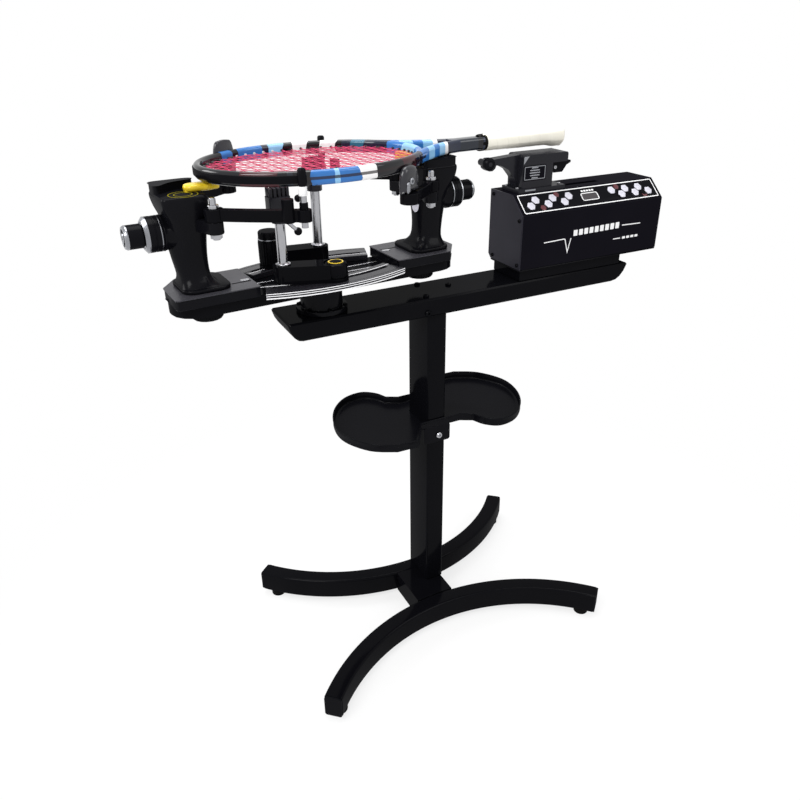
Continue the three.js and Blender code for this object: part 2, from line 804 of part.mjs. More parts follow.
// Racket support: a base under the hoop, an upright inside it and a stem down to the screw
function cradle() {
  const uprightOuter = hoopInnerLength - seatGap;
  const uprightTop = frameMiddle - stringRadius - stringClearance;
  const base = slab('z', roundedRect(-cradleOuter, -uprightOuter + cradleUprightThickness,
    -cradleHalfWidth, cradleHalfWidth, cradleCorner), cradleBottom, cradleBaseHeight, 0, cornerSteps);
  const upright = slab('z', roundedRect(-uprightOuter, -uprightOuter + cradleUprightThickness,
    -cradleUprightHalfWidth, cradleUprightHalfWidth, cradleCorner), cradleBottom,
  uprightTop - cradleBottom, 0, cornerSteps);
  const ends = hoopSpace(-hoopBand + seatGap);
  const stem = box(-cradleStemCentre - cradleStemLength / 2, -cradleStemCentre + cradleStemLength / 2,
    -cradleStemHalfWidth, cradleStemHalfWidth, knobAxis - 2 * screwRadius, cradleBottom + cradleCorner);
  const thread = bore('x', screwRadius, -cradleStemCentre - cradleStemLength,
    2 * cradleStemLength, 0, knobAxis);
  return cut(join(base, upright.intersect(ends), stem), thread);
}

// The space inside the hoop, drawn in by a distance from its outer edge
function hoopSpace(grow) {
  const shape = new THREE.Shape();
  shape.absellipse(0, 0, hoopHalfLength + grow - 2 * seatGap, hoopHalfWidth + grow - 2 * seatGap,
    0, 2 * Math.PI, false, 0);
  return slab('z', shape, cradleBottom - cutOverrun, frameTop - cradleBottom, 0, hoopSteps);
}

function hoopEdge(reach) {
  const share = reach / hoopHalfLength;
  const point = [-reach, hoopHalfWidth * Math.sqrt(1 - share * share)];
  const normal = [point[0] / hoopHalfLength ** 2, point[1] / hoopHalfWidth ** 2];
  const size = Math.hypot(...normal);
  return { point, normal: [normal[0] / size, normal[1] / size] };
}

// Side arms: each swings on its pin and carries a finger or a hook that bears on the hoop's edge
function armOutline(end, endRadius, side) {
  const from = [-armPivotReach, side * armPivotOffset];
  const middle = [(from[0] + end[0]) / 2, (from[1] + end[1]) / 2 + side * armBow];
  const path = new THREE.QuadraticBezierCurve(new THREE.Vector2(...from), new THREE.Vector2(...middle),
    new THREE.Vector2(...end));
  const one = [];
  const other = [];
  for (let i = 0; i <= armSteps; i += 1) {
    const point = path.getPoint(i / armSteps);
    const along = path.getTangent(i / armSteps);
    one.push([point.x + along.y * armHalfWidth, point.y - along.x * armHalfWidth]);
    other.unshift([point.x - along.y * armHalfWidth, point.y + along.x * armHalfWidth]);
  }
  return join(slab('z', polygon([...one, ...other]), armBottom, armHeight),
    rod('z', armEyeRadius, armBottom, armHeight, ...from),
    rod('z', endRadius, armBottom, armHeight, ...end));
}

function armPinHole(side) {
  return bore('z', armPinRadius, armBottom - cutOverrun, armHeight + 2 * cutOverrun,
    -armPivotReach, side * armPivotOffset);
}

function fingerPlace() {
  const { point, normal } = hoopEdge(fingerReach);
  const away = fingerCollarRadius + 2 * seatGap;
  return [point[0] + normal[0] * away, -(point[1] + normal[1] * away)];
}

function fingerArm() {
  const place = fingerPlace();
  const boss = rod('z', fingerBossRadius, armBottom, armHeight + fingerBossHeight,
    place[0] - fingerBossGap, place[1] + fingerBossGap / 4);
  return cut(join(armOutline(place, fingerArmEnd, -1), boss), armPinHole(-1),
    rod('z', fingerRadius + seatGap, armBottom - cutOverrun, armHeight + 2 * cutOverrun, ...place));
}

function finger() {
  const place = fingerPlace();
  const low = armBottom - fingerDrop;
  const collarTop = frameBottom + fingerCollarHeight - hoopBand;
  return join(rod('z', fingerRadius, low, frameTop + fingerTop - low, ...place),
    rod('z', fingerCollarRadius, armTop + seatGap, collarTop - armTop, ...place));
}

function hookPlace() {
  const { point, normal } = hoopEdge(hookReach);
  const away = seatGap + hookThickness / 2;
  return { centre: [point[0] + normal[0] * away, point[1] + normal[1] * away], normal };
}

function hookArm() {
  return cut(armOutline(hookPlace().centre, hookArmEnd, 1), armPinHole(1));
}

function hook(topHeight) {
  const { centre, normal } = hookPlace();
  const low = armTop + seatGap;
  const top = frameTop + topHeight;
  const outline = new THREE.Shape();
  outline.moveTo(-hookHalfLength, low);
  outline.lineTo(hookHalfLength, low);
  outline.lineTo(hookTopHalfLength, top - hookCorner);
  outline.absarc(hookTopHalfLength - hookCorner, top - hookCorner, hookCorner, 0, Math.PI / 2, false);
  outline.absarc(hookCorner - hookTopHalfLength, top - hookCorner, hookCorner, Math.PI / 2, Math.PI, false);
  const plate = slab('y', outline, -hookThickness / 2, hookThickness, 0, cornerSteps * 2);
  const angle = THREE.MathUtils.radToDeg(Math.atan2(-normal[0], normal[1]));
  return plate.rotate([0, 0, angle]).translate([centre[0], centre[1], 0]);
}

function addTower(parent, side, hookTop) {
  piece(parent, `${side}_carriage`, carriage(), greyPaint);
  piece(parent, `${side}_lock_nut`, lockNut(), blackPlastic);
  piece(parent, `${side}_tower`, tower(), blackCasting);
  piece(parent, `${side}_arm_knob`, barrel(), blackPlastic);
  piece(parent, `${side}_support_knob`, supportKnob(), blackPlastic);
  piece(parent, `${side}_racket_support`, cradle(), yellowPlastic);
  piece(parent, `${side}_finger_arm`, fingerArm(), blackPaint);
  piece(parent, `${side}_finger`, finger(), darkGrey);
  piece(parent, `${side}_hook_arm`, hookArm(), blackPaint);
  piece(parent, `${side}_hook`, hook(hookTop), darkGrey);
}

// String clamp: a base on the rail with a lock knob, a turning post and a head that lifts
function clampPostPlace() {
  return [-clampPostReach, railArcOffset - railSlotRadius + clampPostInset];
}

function clampLockPlace() {
  return [0, railArcOffset - railSlotRadius];
}

function clampBase() {
  const post = clampPostPlace();
  const lock = clampLockPlace();
  const foot = slab('z', link(post, clampBaseRadius, lock, clampFootRadius), clampBottom, clampFootThickness);
  const block = slab('z', link(post, clampBaseRadius, lock, clampBaseRadius), clampBottom, clampBaseHeight);
  const lockSpace = bore('z', clampLockRadius + seatGap, clampBottom + clampFootThickness, clampBaseHeight,
    ...lock);
  const half = clampBaseHeight / 2;
  return cut(join(foot, block.subtract(lockSpace)),
    bore('z', clampStudRadius, clampBottom - cutOverrun, clampBaseHeight, ...lock),
    bore('z', clampPostFootRadius, clampBottom + half, half + cutOverrun, ...post));
}

function clampLock(height) {
  const lock = clampLockPlace();
  const low = clampBottom + clampFootThickness + seatGap;
  return join(rod('z', clampLockRadius, low, height, ...lock, clampLockEdge),
    rod('z', clampStudRadius, clampBottom - clampStudReach,
      low - clampBottom + clampStudReach + clampLockEdge, ...lock));
}

function clampPost() {
  const post = clampPostPlace();
  const low = clampBottom + clampBaseHeight / 2 + seatGap;
  return join(rod('z', clampPostRadius, low, clampPostTop - low, ...post),
    rod('z', clampPostFootRadius, low, clampTop + clampPostFootHeight - low, ...post));
}

function clampHead(low) {
  const [x, y] = clampPostPlace();
  const blockLow = low + clampCollarHeight;
  const jawLow = blockLow + clampBlockHeight;
  const block = slab('z', roundedRect(x - clampBlockLength / 2, x + clampBlockLength / 2,
    y - clampBlockWidth / 2, y + clampBlockWidth / 2, clampBlockCorner), blockLow, clampBlockHeight,
  0, cornerSteps);
  const pitch = clampBlockLength / clampTeeth;
  const teeth = [];
  for (let i = 0; i < clampTeeth; i += 1) {
    const left = x - clampBlockLength / 2 + pitch * (i + (1 - clampToothShare) / 2);
    teeth.push(box(left, left + pitch * clampToothShare, y - clampJawWidth, y + clampJawWidth,
      jawLow - clampRoof, jawLow + clampJawHeight));
  }
  const jawSlot = box(x - clampBlockLength, x + clampBlockLength, y - clampJawSlot / 2,
    y + clampJawSlot / 2, jawLow, jawLow + 2 * clampJawHeight);
  const lug = rod('y', clampLeverLug, y - clampBlockWidth / 2 - clampLeverRadius,
    clampBlockWidth / 2, x, low + clampLeverHeight);
  return cut(join(rod('z', clampCollarRadius, low, clampCollarHeight, x, y), block, lug, ...teeth),
    jawSlot, rod('z', clampPostRadius + seatGap, low - cutOverrun, clampBore + cutOverrun, x, y));
}

function clampLever(low) {
  const [x, y] = clampPostPlace();
  const front = y - clampBlockWidth / 2 - clampLeverRadius - seatGap;
  const pivotHeight = low + clampLeverHeight;
  const eye = rod('y', clampLeverLug, front - 2 * clampLeverRadius, 2 * clampLeverRadius, 0, 0);
  const bar = rod('x', clampLeverRadius, 0, clampLeverLength, front - clampLeverRadius, 0);
  const knob = toSolid(new THREE.SphereGeometry(clampLeverKnobRadius, roundSteps, roundSteps / 2)
    .translate(clampLeverLength, front - clampLeverRadius, 0));
  return join(eye, bar, knob).rotate([0, clampLeverAngle, 0]).translate([x, 0, pivotHeight]);
}

function addClamp(parent, side, low, lockHeight) {
  piece(parent, `${side}_clamp_base`, clampBase(), blackCasting);
  piece(parent, `${side}_clamp_lock`, clampLock(lockHeight), blackPlastic);
  piece(parent, `${side}_clamp_post`, clampPost(), steel);
  piece(parent, `${side}_clamp_head`, clampHead(low), darkGrey);
  piece(parent, `${side}_clamp_lever`, clampLever(low), steel);
}

// Racket: hoop, throat and shaft in one frame, the string bed and the grip
function hoopPoint(angle) {
  return [hoopHalfLength * Math.cos(angle), hoopHalfWidth * Math.sin(angle)];
}

function racketFrame() {
  const start = THREE.MathUtils.degToRad(throatStartAngle);
  const mouth = THREE.MathUtils.degToRad(throatMouthAngle);
  const [leaveX, leaveY] = hoopPoint(start);
  const bendY = 2 * shaftHalfWidth;
  const slope = (hoopHalfLength * Math.sin(start)) / (hoopHalfWidth * Math.cos(start));
  const bendX = leaveX + (leaveY - bendY) * slope;
  const outline = new THREE.Shape();
  outline.absellipse(0, 0, hoopHalfLength, hoopHalfWidth, start, 2 * Math.PI - start, false, 0);
  outline.quadraticCurveTo(bendX, -bendY, shaftStart, -shaftHalfWidth);
  outline.lineTo(shaftEnd, -shaftHalfWidth);
  outline.lineTo(shaftEnd, shaftHalfWidth);
  outline.lineTo(shaftStart, shaftHalfWidth);
  outline.quadraticCurveTo(bendX, bendY, leaveX, leaveY);
  const inside = new THREE.Path();
  inside.absellipse(0, 0, hoopInnerLength, hoopInnerWidth, 0, 2 * Math.PI, false, 0);
  const throat = new THREE.Path();
  throat.absellipse(0, 0, hoopHalfLength, hoopHalfWidth, -mouth, mouth, false, 0);
  throat.quadraticCurveTo(bendX - throatArmWidth, bendY, shaftStart - shaftHalfWidth, 0);
  throat.quadraticCurveTo(bendX - throatArmWidth, -bendY, ...hoopPoint(-mouth));
  outline.holes.push(inside, throat);
  return slab('z', outline, frameBottom, frameHeight, frameEdge, hoopSteps);
}

// Strings in one flat net, drawn cell by cell: crossings and the lengths between them
function stringBed() {
  const low = frameMiddle - stringRadius;
  const high = frameMiddle + stringRadius;
  const spread = (count, pitch) => Array.from({ length: count }, (_, i) => (i - (count - 1) / 2) * pitch);
  const shareOf = (offset, other) => (Math.abs(offset) + stringRadius) / other;
  const halfOf = (offset, own, other) => own * Math.sqrt(1 - shareOf(offset, other) ** 2);
  const length = hoopInnerLength - 2 * seatGap;
  const width = hoopInnerWidth - 2 * seatGap;
  const mains = spread(mainStrings, mainPitch);
  const crosses = spread(crossStrings, crossPitch);
  const cells = [];
  const addString = (offset, others, own, other, put) => {
    const half = halfOf(offset, own, other);
    const met = others.filter((at) => Math.abs(at) + 2 * stringRadius < half);
    const next = others.find((at) => at > met[met.length - 1]) ?? half + 2 * stringRadius;
    const end = Math.min(half, next - 2 * stringRadius);
    const stops = [-end, ...met.flatMap((at) => [at - stringRadius, at + stringRadius]), end];
    for (let i = 0; i < stops.length; i += 2) {
      put(stops[i], stops[i + 1], offset - stringRadius, offset + stringRadius);
    }
    return met;
  };
  for (const y of mains) {
    const met = addString(y, crosses, length, width, (a, b, c, d) => cells.push([a, b, c, d]));
    met.forEach((x) => cells.push([x - stringRadius, x + stringRadius, y - stringRadius, y + stringRadius]));
  }
  for (const x of crosses) {
    addString(x, mains, width, length, (a, b, c, d) => cells.push([c, d, a, b]));
  }
  const name = ([x, y]) => `${x.toFixed(3)},${y.toFixed(3)}`;
  const edgeName = (a, b) => [name(a), name(b)].sort().join(' ');
  const uses = new Map();
  const corners = ([a, b, c, d]) => [[a, c], [b, c], [b, d], [a, d]];
  for (const cell of cells) {
    corners(cell).forEach((from, i, all) => {
      const key = edgeName(from, all[(i + 1) % 4]);
      uses.set(key, (uses.get(key) ?? 0) + 1);
    });
  }
  const points = [];
  const quad = (a, b, c, d) => points.push(...a, ...b, ...c, ...a, ...c, ...d);
  for (const cell of cells) {
    const all = corners(cell);
    quad(...all.map((at) => [...at, high]));
    quad(...[...all].reverse().map((at) => [...at, low]));
    all.forEach((from, i) => {
      const to = all[(i + 1) % 4];
      if (uses.get(edgeName(from, to)) > 1) return;
      quad([...from, low], [...to, low], [...to, high], [...from, high]);
    });
  }
  const geometry = new THREE.BufferGeometry();
  geometry.setAttribute('position', new THREE.BufferAttribute(new Float32Array(points), 3));
  return toSolid(geometry);
}

function grip() {
  const start = shaftEnd + seatGap;
  const end = start + gripLength;
  const profile = [
    [0, start], [gripStartRadius, start], [gripRadius, end - 2 * gripButtLength],
    [gripRadius, end - gripButtLength], [gripButtRadius, end - gripButtLength / 5],
    [gripButtRadius - seatGap, end], [0, end],
  ].map(([radius, along]) => new THREE.Vector2(radius, along));
  const turned = new THREE.LatheGeometry(profile, gripSides);
  turned.rotateZ(-Math.PI / 2);
  turned.translate(0, 0, frameMiddle);
  return toSolid(turned);
}

function addTurntable(parent) {
  const table = new THREE.Group();
  table.position.set(turntableX, beamY, 0);
  table.rotation.z = turnedBy;
  parent.add(table);
  piece(table, 'pivot_housing', pivotHousing(), blackCasting);
  piece(table, 'turntable_bar', turntableBar(), blackPaint);
  piece(table, 'front_rail', clampRail(), darkGrey);
  piece(table, 'rear_rail', clampRail().rotate([0, 0, 180]), darkGrey);
  addTower(table, 'left', leftHookTop);
  const opposite = new THREE.Group();
  opposite.rotation.z = Math.PI;
  table.add(opposite);
  addTower(opposite, 'right', rightHookTop);
  for (const [side, carrier, angle, low, lockHeight] of [
    ['front', table, frontClampAngle, clampRaised - clampTravel, frontLockHeight],
    ['rear', opposite, rearClampAngle, clampRaised, rearLockHeight],
  ]) {
    const about = new THREE.Group();
    about.position.set(0, railArcOffset, 0);
    about.rotation.z = THREE.MathUtils.degToRad(angle);
    carrier.add(about);
    const clamp = new THREE.Group();
    clamp.position.set(0, -railArcOffset, 0);
    about.add(clamp);
    addClamp(clamp, side, low, lockHeight);
  }
  piece(table, 'racket_frame', racketFrame(), racketPaint);
  piece(table, 'string_bed', stringBed(), stringRed);
  piece(table, 'racket_grip', grip(), gripWhite);
}

// Control unit: plinth, case with a sloping panel, end plate, keypad and display
function caseLoop() {
  return [
    [caseFront, caseBottom], [caseBack - caseBackChamfer, caseBottom],
    [caseBack, caseBottom + caseBackChamfer], [caseBack, caseTop],
    [caseFront + panelRun, caseTop], [caseFront, panelBottom],
  ];
}

function plinth() {
  const low = beamTop + seatGap;
  const plateLow = caseBottom - seatGap - plinthPlate;
  return join(box(caseLeft + plinthInset, caseLeft + plinthInset + plinthLength, caseFront + plinthInset,
    caseBack - caseBackChamfer, low, plateLow + plinthPlate / 2),
  box(caseLeft, caseRight, caseFront, caseBack - caseBackChamfer, plateLow, plateLow + plinthPlate));
}

function inletPlace() {
  return [caseRight - inletFromRight, caseBottom + inletRise];
}

function switchPlace() {
  return [caseRight - inletFromRight - switchFromInlet, caseBottom + inletRise];
}

function opening(axisStart, length, [x, z], width, height, grow) {
  return box(x - width / 2 - grow, x + width / 2 + grow, axisStart, axisStart + length,
    z - height / 2 - grow, z + height / 2 + grow);
}

function caseShell() {
  const left = caseLeft + endPlateThickness + seatGap;
  const outside = slab('x', polygon(caseLoop()), left, caseRight - left);
  const hollow = slab('x', polygon(insetLoop(caseLoop(), caseWall)), left - cutOverrun,
    caseRight - caseWall - left + cutOverrun);
  const mouth = box(left - cutOverrun, caseRight - caseWall, caseFront + caseWall,
    caseBack - caseBackChamfer - caseWall, caseBottom - cutOverrun, caseBottom + 2 * caseWall);
  const slotHalf = stemDepth / 2 + slotGap;
  const slot = box(headMiddle - stemWidth / 2 - slotGap, headMiddle + stemWidth / 2 + headTravel + slotGap,
    headY - slotHalf, headY + slotHalf, caseTop - 2 * caseWall, caseTop + cutOverrun);
  const wallStart = caseBack - 2 * caseWall;
  const wallCut = 2 * caseWall + cutOverrun;
  return cut(outside, hollow, mouth, slot,
    opening(wallStart, wallCut, inletPlace(), inletWidth, inletHeight, seatGap),
    opening(wallStart, wallCut, switchPlace(), switchWidth, switchHeight, seatGap));
}

function endPlate() {
  const plate = slab('x', polygon(caseLoop()), caseLeft, endPlateThickness);
  const boss = rod('x', bearingRadius, caseLeft + endPlateThickness / 2, bearingLength, headY, driveAxis);
  return cut(join(plate, boss), bore('x', driveScrewRadius, caseLeft + endPlateThickness,
    bearingLength + cutOverrun, headY, driveAxis));
}

function onPanel(parent) {
  const panel = new THREE.Group();
  panel.position.set(caseLeft, caseFront + panelRun / 2, (panelBottom + caseTop) / 2);
  panel.rotation.x = panelAngle;
  parent.add(panel);
  return panel;
}

function keypad() {
  const half = panelLength / 2 - keypadSlopeMargin;
  const sheet = slab('z', roundedRect(keypadMargin, caseLength - keypadMargin, -half, half, keypadCorner),
    seatGap, keypadThickness, 0, cornerSteps);
  const window = slab('z', roundedRect(displayCentre - displayWidth / 2 - seatGap,
    displayCentre + displayWidth / 2 + seatGap, -displayHeight / 2 - seatGap, displayHeight / 2 + seatGap,
    displayCorner), -cutOverrun, 2 * cutOverrun + keypadThickness, 0, cornerSteps);
  const keys = [];
  for (const [start, firstRow] of [[leftKeysStart, -keyRowOffset], [rightKeysStart, keyRowOffset]]) {
    for (let i = 0; i < keysInGroup; i += 1) {
      const row = i % 2 ? -firstRow : firstRow;
      const corners = [];
      for (let k = 0; k < 6; k += 1) {
        const turn = k * Math.PI / 3;
        corners.push([start + i * keyPitch + keyRadius * Math.cos(turn), row + keyRadius * Math.sin(turn)]);
      }
      keys.push(slab('z', polygon(corners), seatGap + keypadThickness / 2, keypadThickness / 2 + keyRise));
    }
  }
  return join(cut(sheet, window), ...keys);
}

function displayWindow() {
  return slab('z', roundedRect(displayCentre - displayWidth / 2, displayCentre + displayWidth / 2,
    -displayHeight / 2, displayHeight / 2, displayCorner), seatGap, displayThickness, 0, cornerSteps);
}

// Drive: a motor turns the screw that pulls the tension head
function driveMotor() {
  const right = caseRight - caseWall - motorRightGap;
  const left = right - motorLength;
  const low = caseBottom;
  return cut(join(rod('x', motorRadius, left, motorLength, headY, driveAxis),
    box(left, left + motorFootWidth, headY - motorRadius, headY + motorRadius, low, driveAxis)),
  bore('x', driveScrewRadius, left - cutOverrun, bearingLength + cutOverrun, headY, driveAxis));
}

function driveScrew() {
  const left = caseLeft + endPlateThickness + 2 * seatGap;
  const right = caseRight - caseWall - motorRightGap - motorLength + bearingLength - seatGap;
  return rod('x', driveScrewRadius, left, right - left, headY, driveAxis);
}

function circuitBoard() {
  const left = caseLeft + boardLeft;
  const front = beamY - boardDepth / 2;
  const low = caseBottom + boardStandoff;
  const board = box(left, left + boardLength, front, front + boardDepth, low, low + boardThickness);
  const posts = [];
  for (const x of [left + 2 * boardPostRadius, left + boardLength - 2 * boardPostRadius]) {
    for (const y of [front + 2 * boardPostRadius, front + boardDepth - 2 * boardPostRadius]) {
      posts.push(box(x - boardPostRadius, x + boardPostRadius, y - boardPostRadius, y + boardPostRadius,
        caseBottom, low + boardThickness / 2));
    }
  }
  return join(board, ...posts);
}

function powerInlet() {
  const [x, z] = inletPlace();
  const place = [x, z];
  return cut(join(opening(caseBack - inletDepth, inletDepth + seatGap + inletFlange / 2, place, inletWidth,
    inletHeight, 0),
  opening(caseBack + seatGap, inletFlange, place, inletWidth, inletHeight, inletFlangeRim)),
  opening(caseBack + seatGap + inletFlange - inletPocket, inletPocket + cutOverrun, place, inletWidth,
    inletHeight, -inletPocketWall));
}

// A rocker that turns about a level axis in its opening
function powerSwitch() {
  const [x, z] = switchPlace();
  const radius = switchHeight / 2;
  const y = caseBack + switchRise - radius;
  const outline = new THREE.Shape();
  outline.moveTo(y + radius * switchDip, z);
  outline.absarc(y, z, radius, switchFlat, 2 * Math.PI - switchFlat, false);
  return slab('x', outline, x - switchWidth / 2 + seatGap, switchWidth - 2 * seatGap);
}

function addControlUnit(parent) {
  piece(parent, 'plinth', plinth(), blackPaint);
  piece(parent, 'control_case', caseShell(), blackPaint);
  piece(parent, 'case_end_plate', endPlate(), greyPaint);
  const panel = onPanel(parent);
  piece(panel, 'keypad', keypad(), darkGrey);
  piece(panel, 'display_window', displayWindow(), glassDark);
  piece(parent, 'drive_motor', driveMotor(), darkGrey);
  piece(parent, 'drive_screw', driveScrew(), steel);
  piece(parent, 'circuit_board', circuitBoard(), boardGreen);
  piece(parent, 'power_inlet', powerInlet(), blackPlastic);
  piece(parent, 'power_switch', powerSwitch(), rubberBlack);
}

// Tension head: a carriage on the case with a stem to the drive screw, a string roller and a lever
function tensionHead() {
  const footLeft = headMiddle - (headFootLength + headLength) / 4;
  const foot = box(footLeft, footLeft + headFootLength, headY - headFootDepth / 2, headY + headFootDepth / 2,
    headBottom, headBottom + headFootHeight);
  const body = slab('z', roundedRect(headLeft, headLeft + headLength, headY - headDepth / 2,
    headY + headDepth / 2, headEdge), headBottom, headHeight - headCapHeight / 2, 0, cornerSteps);
  const cap = slab('y', roundedRect(headLeft, headLeft + headCapLength, headTop - headCapHeight, headTop,
    2 * headEdge), headY - headDepth / 2, headDepth, 0, cornerSteps);
  const neckEnd = headLeft - neckReach;
  const neckOutline = new THREE.Shape();
  neckOutline.moveTo(headLeft + headEdge, headTop);
  neckOutline.lineTo(neckEnd, headTop - 2 * headEdge);
  neckOutline.lineTo(neckEnd, headTop - neckThickness);
  neckOutline.quadraticCurveTo(headLeft - neckThickness, headTop - neckThickness, headLeft - headEdge,
    headBottom + headFootHeight);
  neckOutline.lineTo(headLeft + headEdge, headBottom + headFootHeight);
  const neckFront = headY - neckDepth / 2;
  const neck = slab('y', neckOutline, neckFront, neckDepth, 0, cornerSteps * 2);
  const boss = rod('y', neckBossRadius, neckFront, neckDepth, neckEnd, headTop - neckThickness);
  const arm = rod('y', rollerPinRadius + headEdge, neckFront, neckDepth, ...rollerPlace());
  const pin = rod('y', rollerPinRadius, neckFront - rollerLength - seatGap, rollerLength + headEdge,
    ...rollerPlace());
  const [pivotX, pivotZ] = leverPivot();
  const lug = box(headLeft + headLength - headEdge, pivotX + leverLugHalf, headY - leverThickness / 2,
    headY + leverThickness / 2, pivotZ - leverLugHalf, pivotZ + leverLugHalf);
  const stem = box(headMiddle - stemWidth / 2, headMiddle + stemWidth / 2, headY - stemDepth / 2,
    headY + stemDepth / 2, driveAxis + driveScrewRadius, headBottom + headFootHeight);
  const nut = rod('x', driveNutRadius, headMiddle - driveNutLength / 2, driveNutLength, headY, driveAxis);
  const thread = bore('x', driveScrewRadius, headMiddle - driveNutLength, 2 * driveNutLength,
    headY, driveAxis);
  const pinHole = bore('y', leverPinRadius, headY - leverThickness, 2 * leverThickness, pivotX, pivotZ);
  return cut(join(foot, body, cap, neck, boss, arm, pin, lug, stem, nut), thread, pinHole);
}

function rollerPlace() {
  return [headLeft - rollerReach, headTop - rollerDrop];
}

function leverPivot() {
  const half = leverHeight / 2;
  return [headLeft + headLength + half + 2 * seatGap, headTop - headCapHeight - 2 * seatGap - half];
}

function releaseLever() {
  const [x, z] = leverPivot();
  const half = leverHeight / 2;
  const tip = x + leverReach;
  const outline = new THREE.Shape();
  outline.absarc(x, z, half, Math.PI / 2, 1.5 * Math.PI, false);
  outline.lineTo(x + leverReach / 2, z - half);
  outline.lineTo(tip - leverReach / 4, z + half - leverTipShare * leverHeight);
  outline.lineTo(tip, z + half - leverTipShare * leverHeight / 2);
  outline.lineTo(tip, z + half);
  const back = headY - leverThickness / 2 - seatGap;
  return join(slab('y', outline, back - leverPlate, leverPlate),
    rod('y', leverPinRadius, back - leverPlate / 2, leverPlate / 2 + leverThickness + seatGap, x, z));
}

function stringRoller() {
  const [x, z] = rollerPlace();
  const back = headY - neckDepth / 2 - seatGap;
  const rim = rollerLength / 4;
  const profile = [
    [0, 0], [rollerRadius - rim, 0], [rollerRadius, rim], [rollerRadius, rollerLength - rim],
    [rollerRadius - rim, rollerLength], [0, rollerLength],
  ].map(([radius, along]) => new THREE.Vector2(radius, along));
  const turned = new THREE.LatheGeometry(profile, 2 * roundSteps);
  turned.translate(x, back - rollerLength, z);
  return cut(toSolid(turned), bore('y', rollerPinRadius, back - 2 * rollerLength, 3 * rollerLength, x, z));
}

function addTensionHead(parent) {
  piece(parent, 'tension_head', tensionHead(), darkGrey);
  piece(parent, 'release_lever', releaseLever(), blackPlastic);
  piece(parent, 'string_roller', stringRoller(), blackPlastic);
}

const machine = new THREE.Group();
machine.position.x = -overallMiddle;
addBase(machine);
piece(machine, 'column', column(), blackPaint);
piece(machine, 'beam', beam(), blackPaint);
piece(machine, 'tool_tray', toolTray(), blackPlastic);
addTurntable(machine);
addControlUnit(machine);
addTensionHead(machine);
machine.updateMatrixWorld(true);

export default machine;
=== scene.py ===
# %% [markdown]
# # A racket stringing machine, dressed for its picture
#
# The measured model comes first. It fixes where every piece stands and how it moves, in metres, with X along
# the beam, Y to the back and Z up. Everything below either gives one of its pieces a finish, or builds a
# finer piece in the same place and says which plain one it stands for.

# %% Load the measured model
import json
from math import acos, atan2, cos, degrees, dist, exp, hypot, pi, radians, sin, sqrt

import bmesh
import bpy
from mathutils import Matrix, Vector


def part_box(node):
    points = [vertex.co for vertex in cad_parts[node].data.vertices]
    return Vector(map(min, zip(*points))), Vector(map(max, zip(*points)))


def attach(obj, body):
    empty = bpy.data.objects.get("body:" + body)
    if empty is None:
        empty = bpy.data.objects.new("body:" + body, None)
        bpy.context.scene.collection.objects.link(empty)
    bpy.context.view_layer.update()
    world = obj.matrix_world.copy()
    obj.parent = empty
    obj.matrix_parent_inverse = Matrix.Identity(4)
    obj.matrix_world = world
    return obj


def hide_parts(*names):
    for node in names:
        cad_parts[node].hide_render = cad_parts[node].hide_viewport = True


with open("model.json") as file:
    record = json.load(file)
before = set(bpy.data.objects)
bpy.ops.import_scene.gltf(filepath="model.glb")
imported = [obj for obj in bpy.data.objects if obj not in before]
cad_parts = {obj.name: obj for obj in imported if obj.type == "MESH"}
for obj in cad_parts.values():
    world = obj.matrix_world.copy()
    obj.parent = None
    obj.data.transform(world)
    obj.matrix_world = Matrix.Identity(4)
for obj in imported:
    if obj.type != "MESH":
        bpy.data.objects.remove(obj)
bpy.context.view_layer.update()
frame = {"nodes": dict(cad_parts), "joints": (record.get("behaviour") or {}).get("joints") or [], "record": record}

UP = (0, 0, 1)
nodes = frame["nodes"]
joints = {joint["name"]: joint for joint in frame["joints"]}
slots = {part["node"]: part["material_slot"] for part in frame["record"]["subparts"]}
bodies = {node: body for body, members in frame["record"]["behaviour"]["bodies"].items() for node in members}


def put(name, data):
    """A new object in the scene."""
    thing = bpy.data.objects.new(name, data)
    bpy.context.scene.collection.objects.link(thing)
    return thing


# %% [markdown]
# ## The turntable's own frame
#
# The turntable stands a few degrees round from the beam, as in the picture. Anything on it is easier to
# write about the turntable's axis, so one helper turns such a place into a place in the model.

# %% Where the turntable stands
table_axis = Vector(joints["turntable_turn"]["pos_m"])
outward = Vector(joints["left_arm_knob_turn"]["axis"])
across = Vector((-outward.y, outward.x, 0))
table_turn = atan2(outward.y, outward.x)
table_matrix = Matrix.Translation((table_axis.x, table_axis.y, 0)) @ Matrix.Rotation(table_turn, 4, "Z")


def on_table(x, y, z):
    """A place given along and across the turned table."""
    return table_matrix @ Vector((x, y, z))


def half_turned(x, y, z):
    """The same place on the table's other end."""
    return on_table(-x, -y, z)


SIDES = [("left", on_table, -outward), ("right", half_turned, outward)]
print("turntable at", tuple(round(v, 4) for v in table_axis), "turned by", round(degrees(table_turn), 2))

# %% [markdown]
# ## The camera
#
# The picture was taken from the front left, a little above the racket. Its place, turn and lens were worked
# out from the machine's straight edges, so the render can be laid over the picture.

# %% Camera
CAMERA_PLACE = Vector((-0.6134, -1.0985, 1.15126))
CAMERA_YAW, CAMERA_PITCH, CAMERA_ROLL = (radians(angle) for angle in (26.339, 27.456, -0.743))
CAMERA_LENS = 33.36

pose = Matrix.Translation(CAMERA_PLACE)
for angle, axis in ((-CAMERA_YAW, "Z"), (pi / 2 - CAMERA_PITCH, "X"), (CAMERA_ROLL, "Z")):
    pose = pose @ Matrix.Rotation(angle, 4, axis)
camera = put("camera", bpy.data.cameras.new("camera"))
camera.data.lens = CAMERA_LENS
camera.matrix_world = pose
bpy.context.scene.camera = camera
bpy.context.scene.view_settings.view_transform = "Standard"
print("camera with a lens of", CAMERA_LENS)

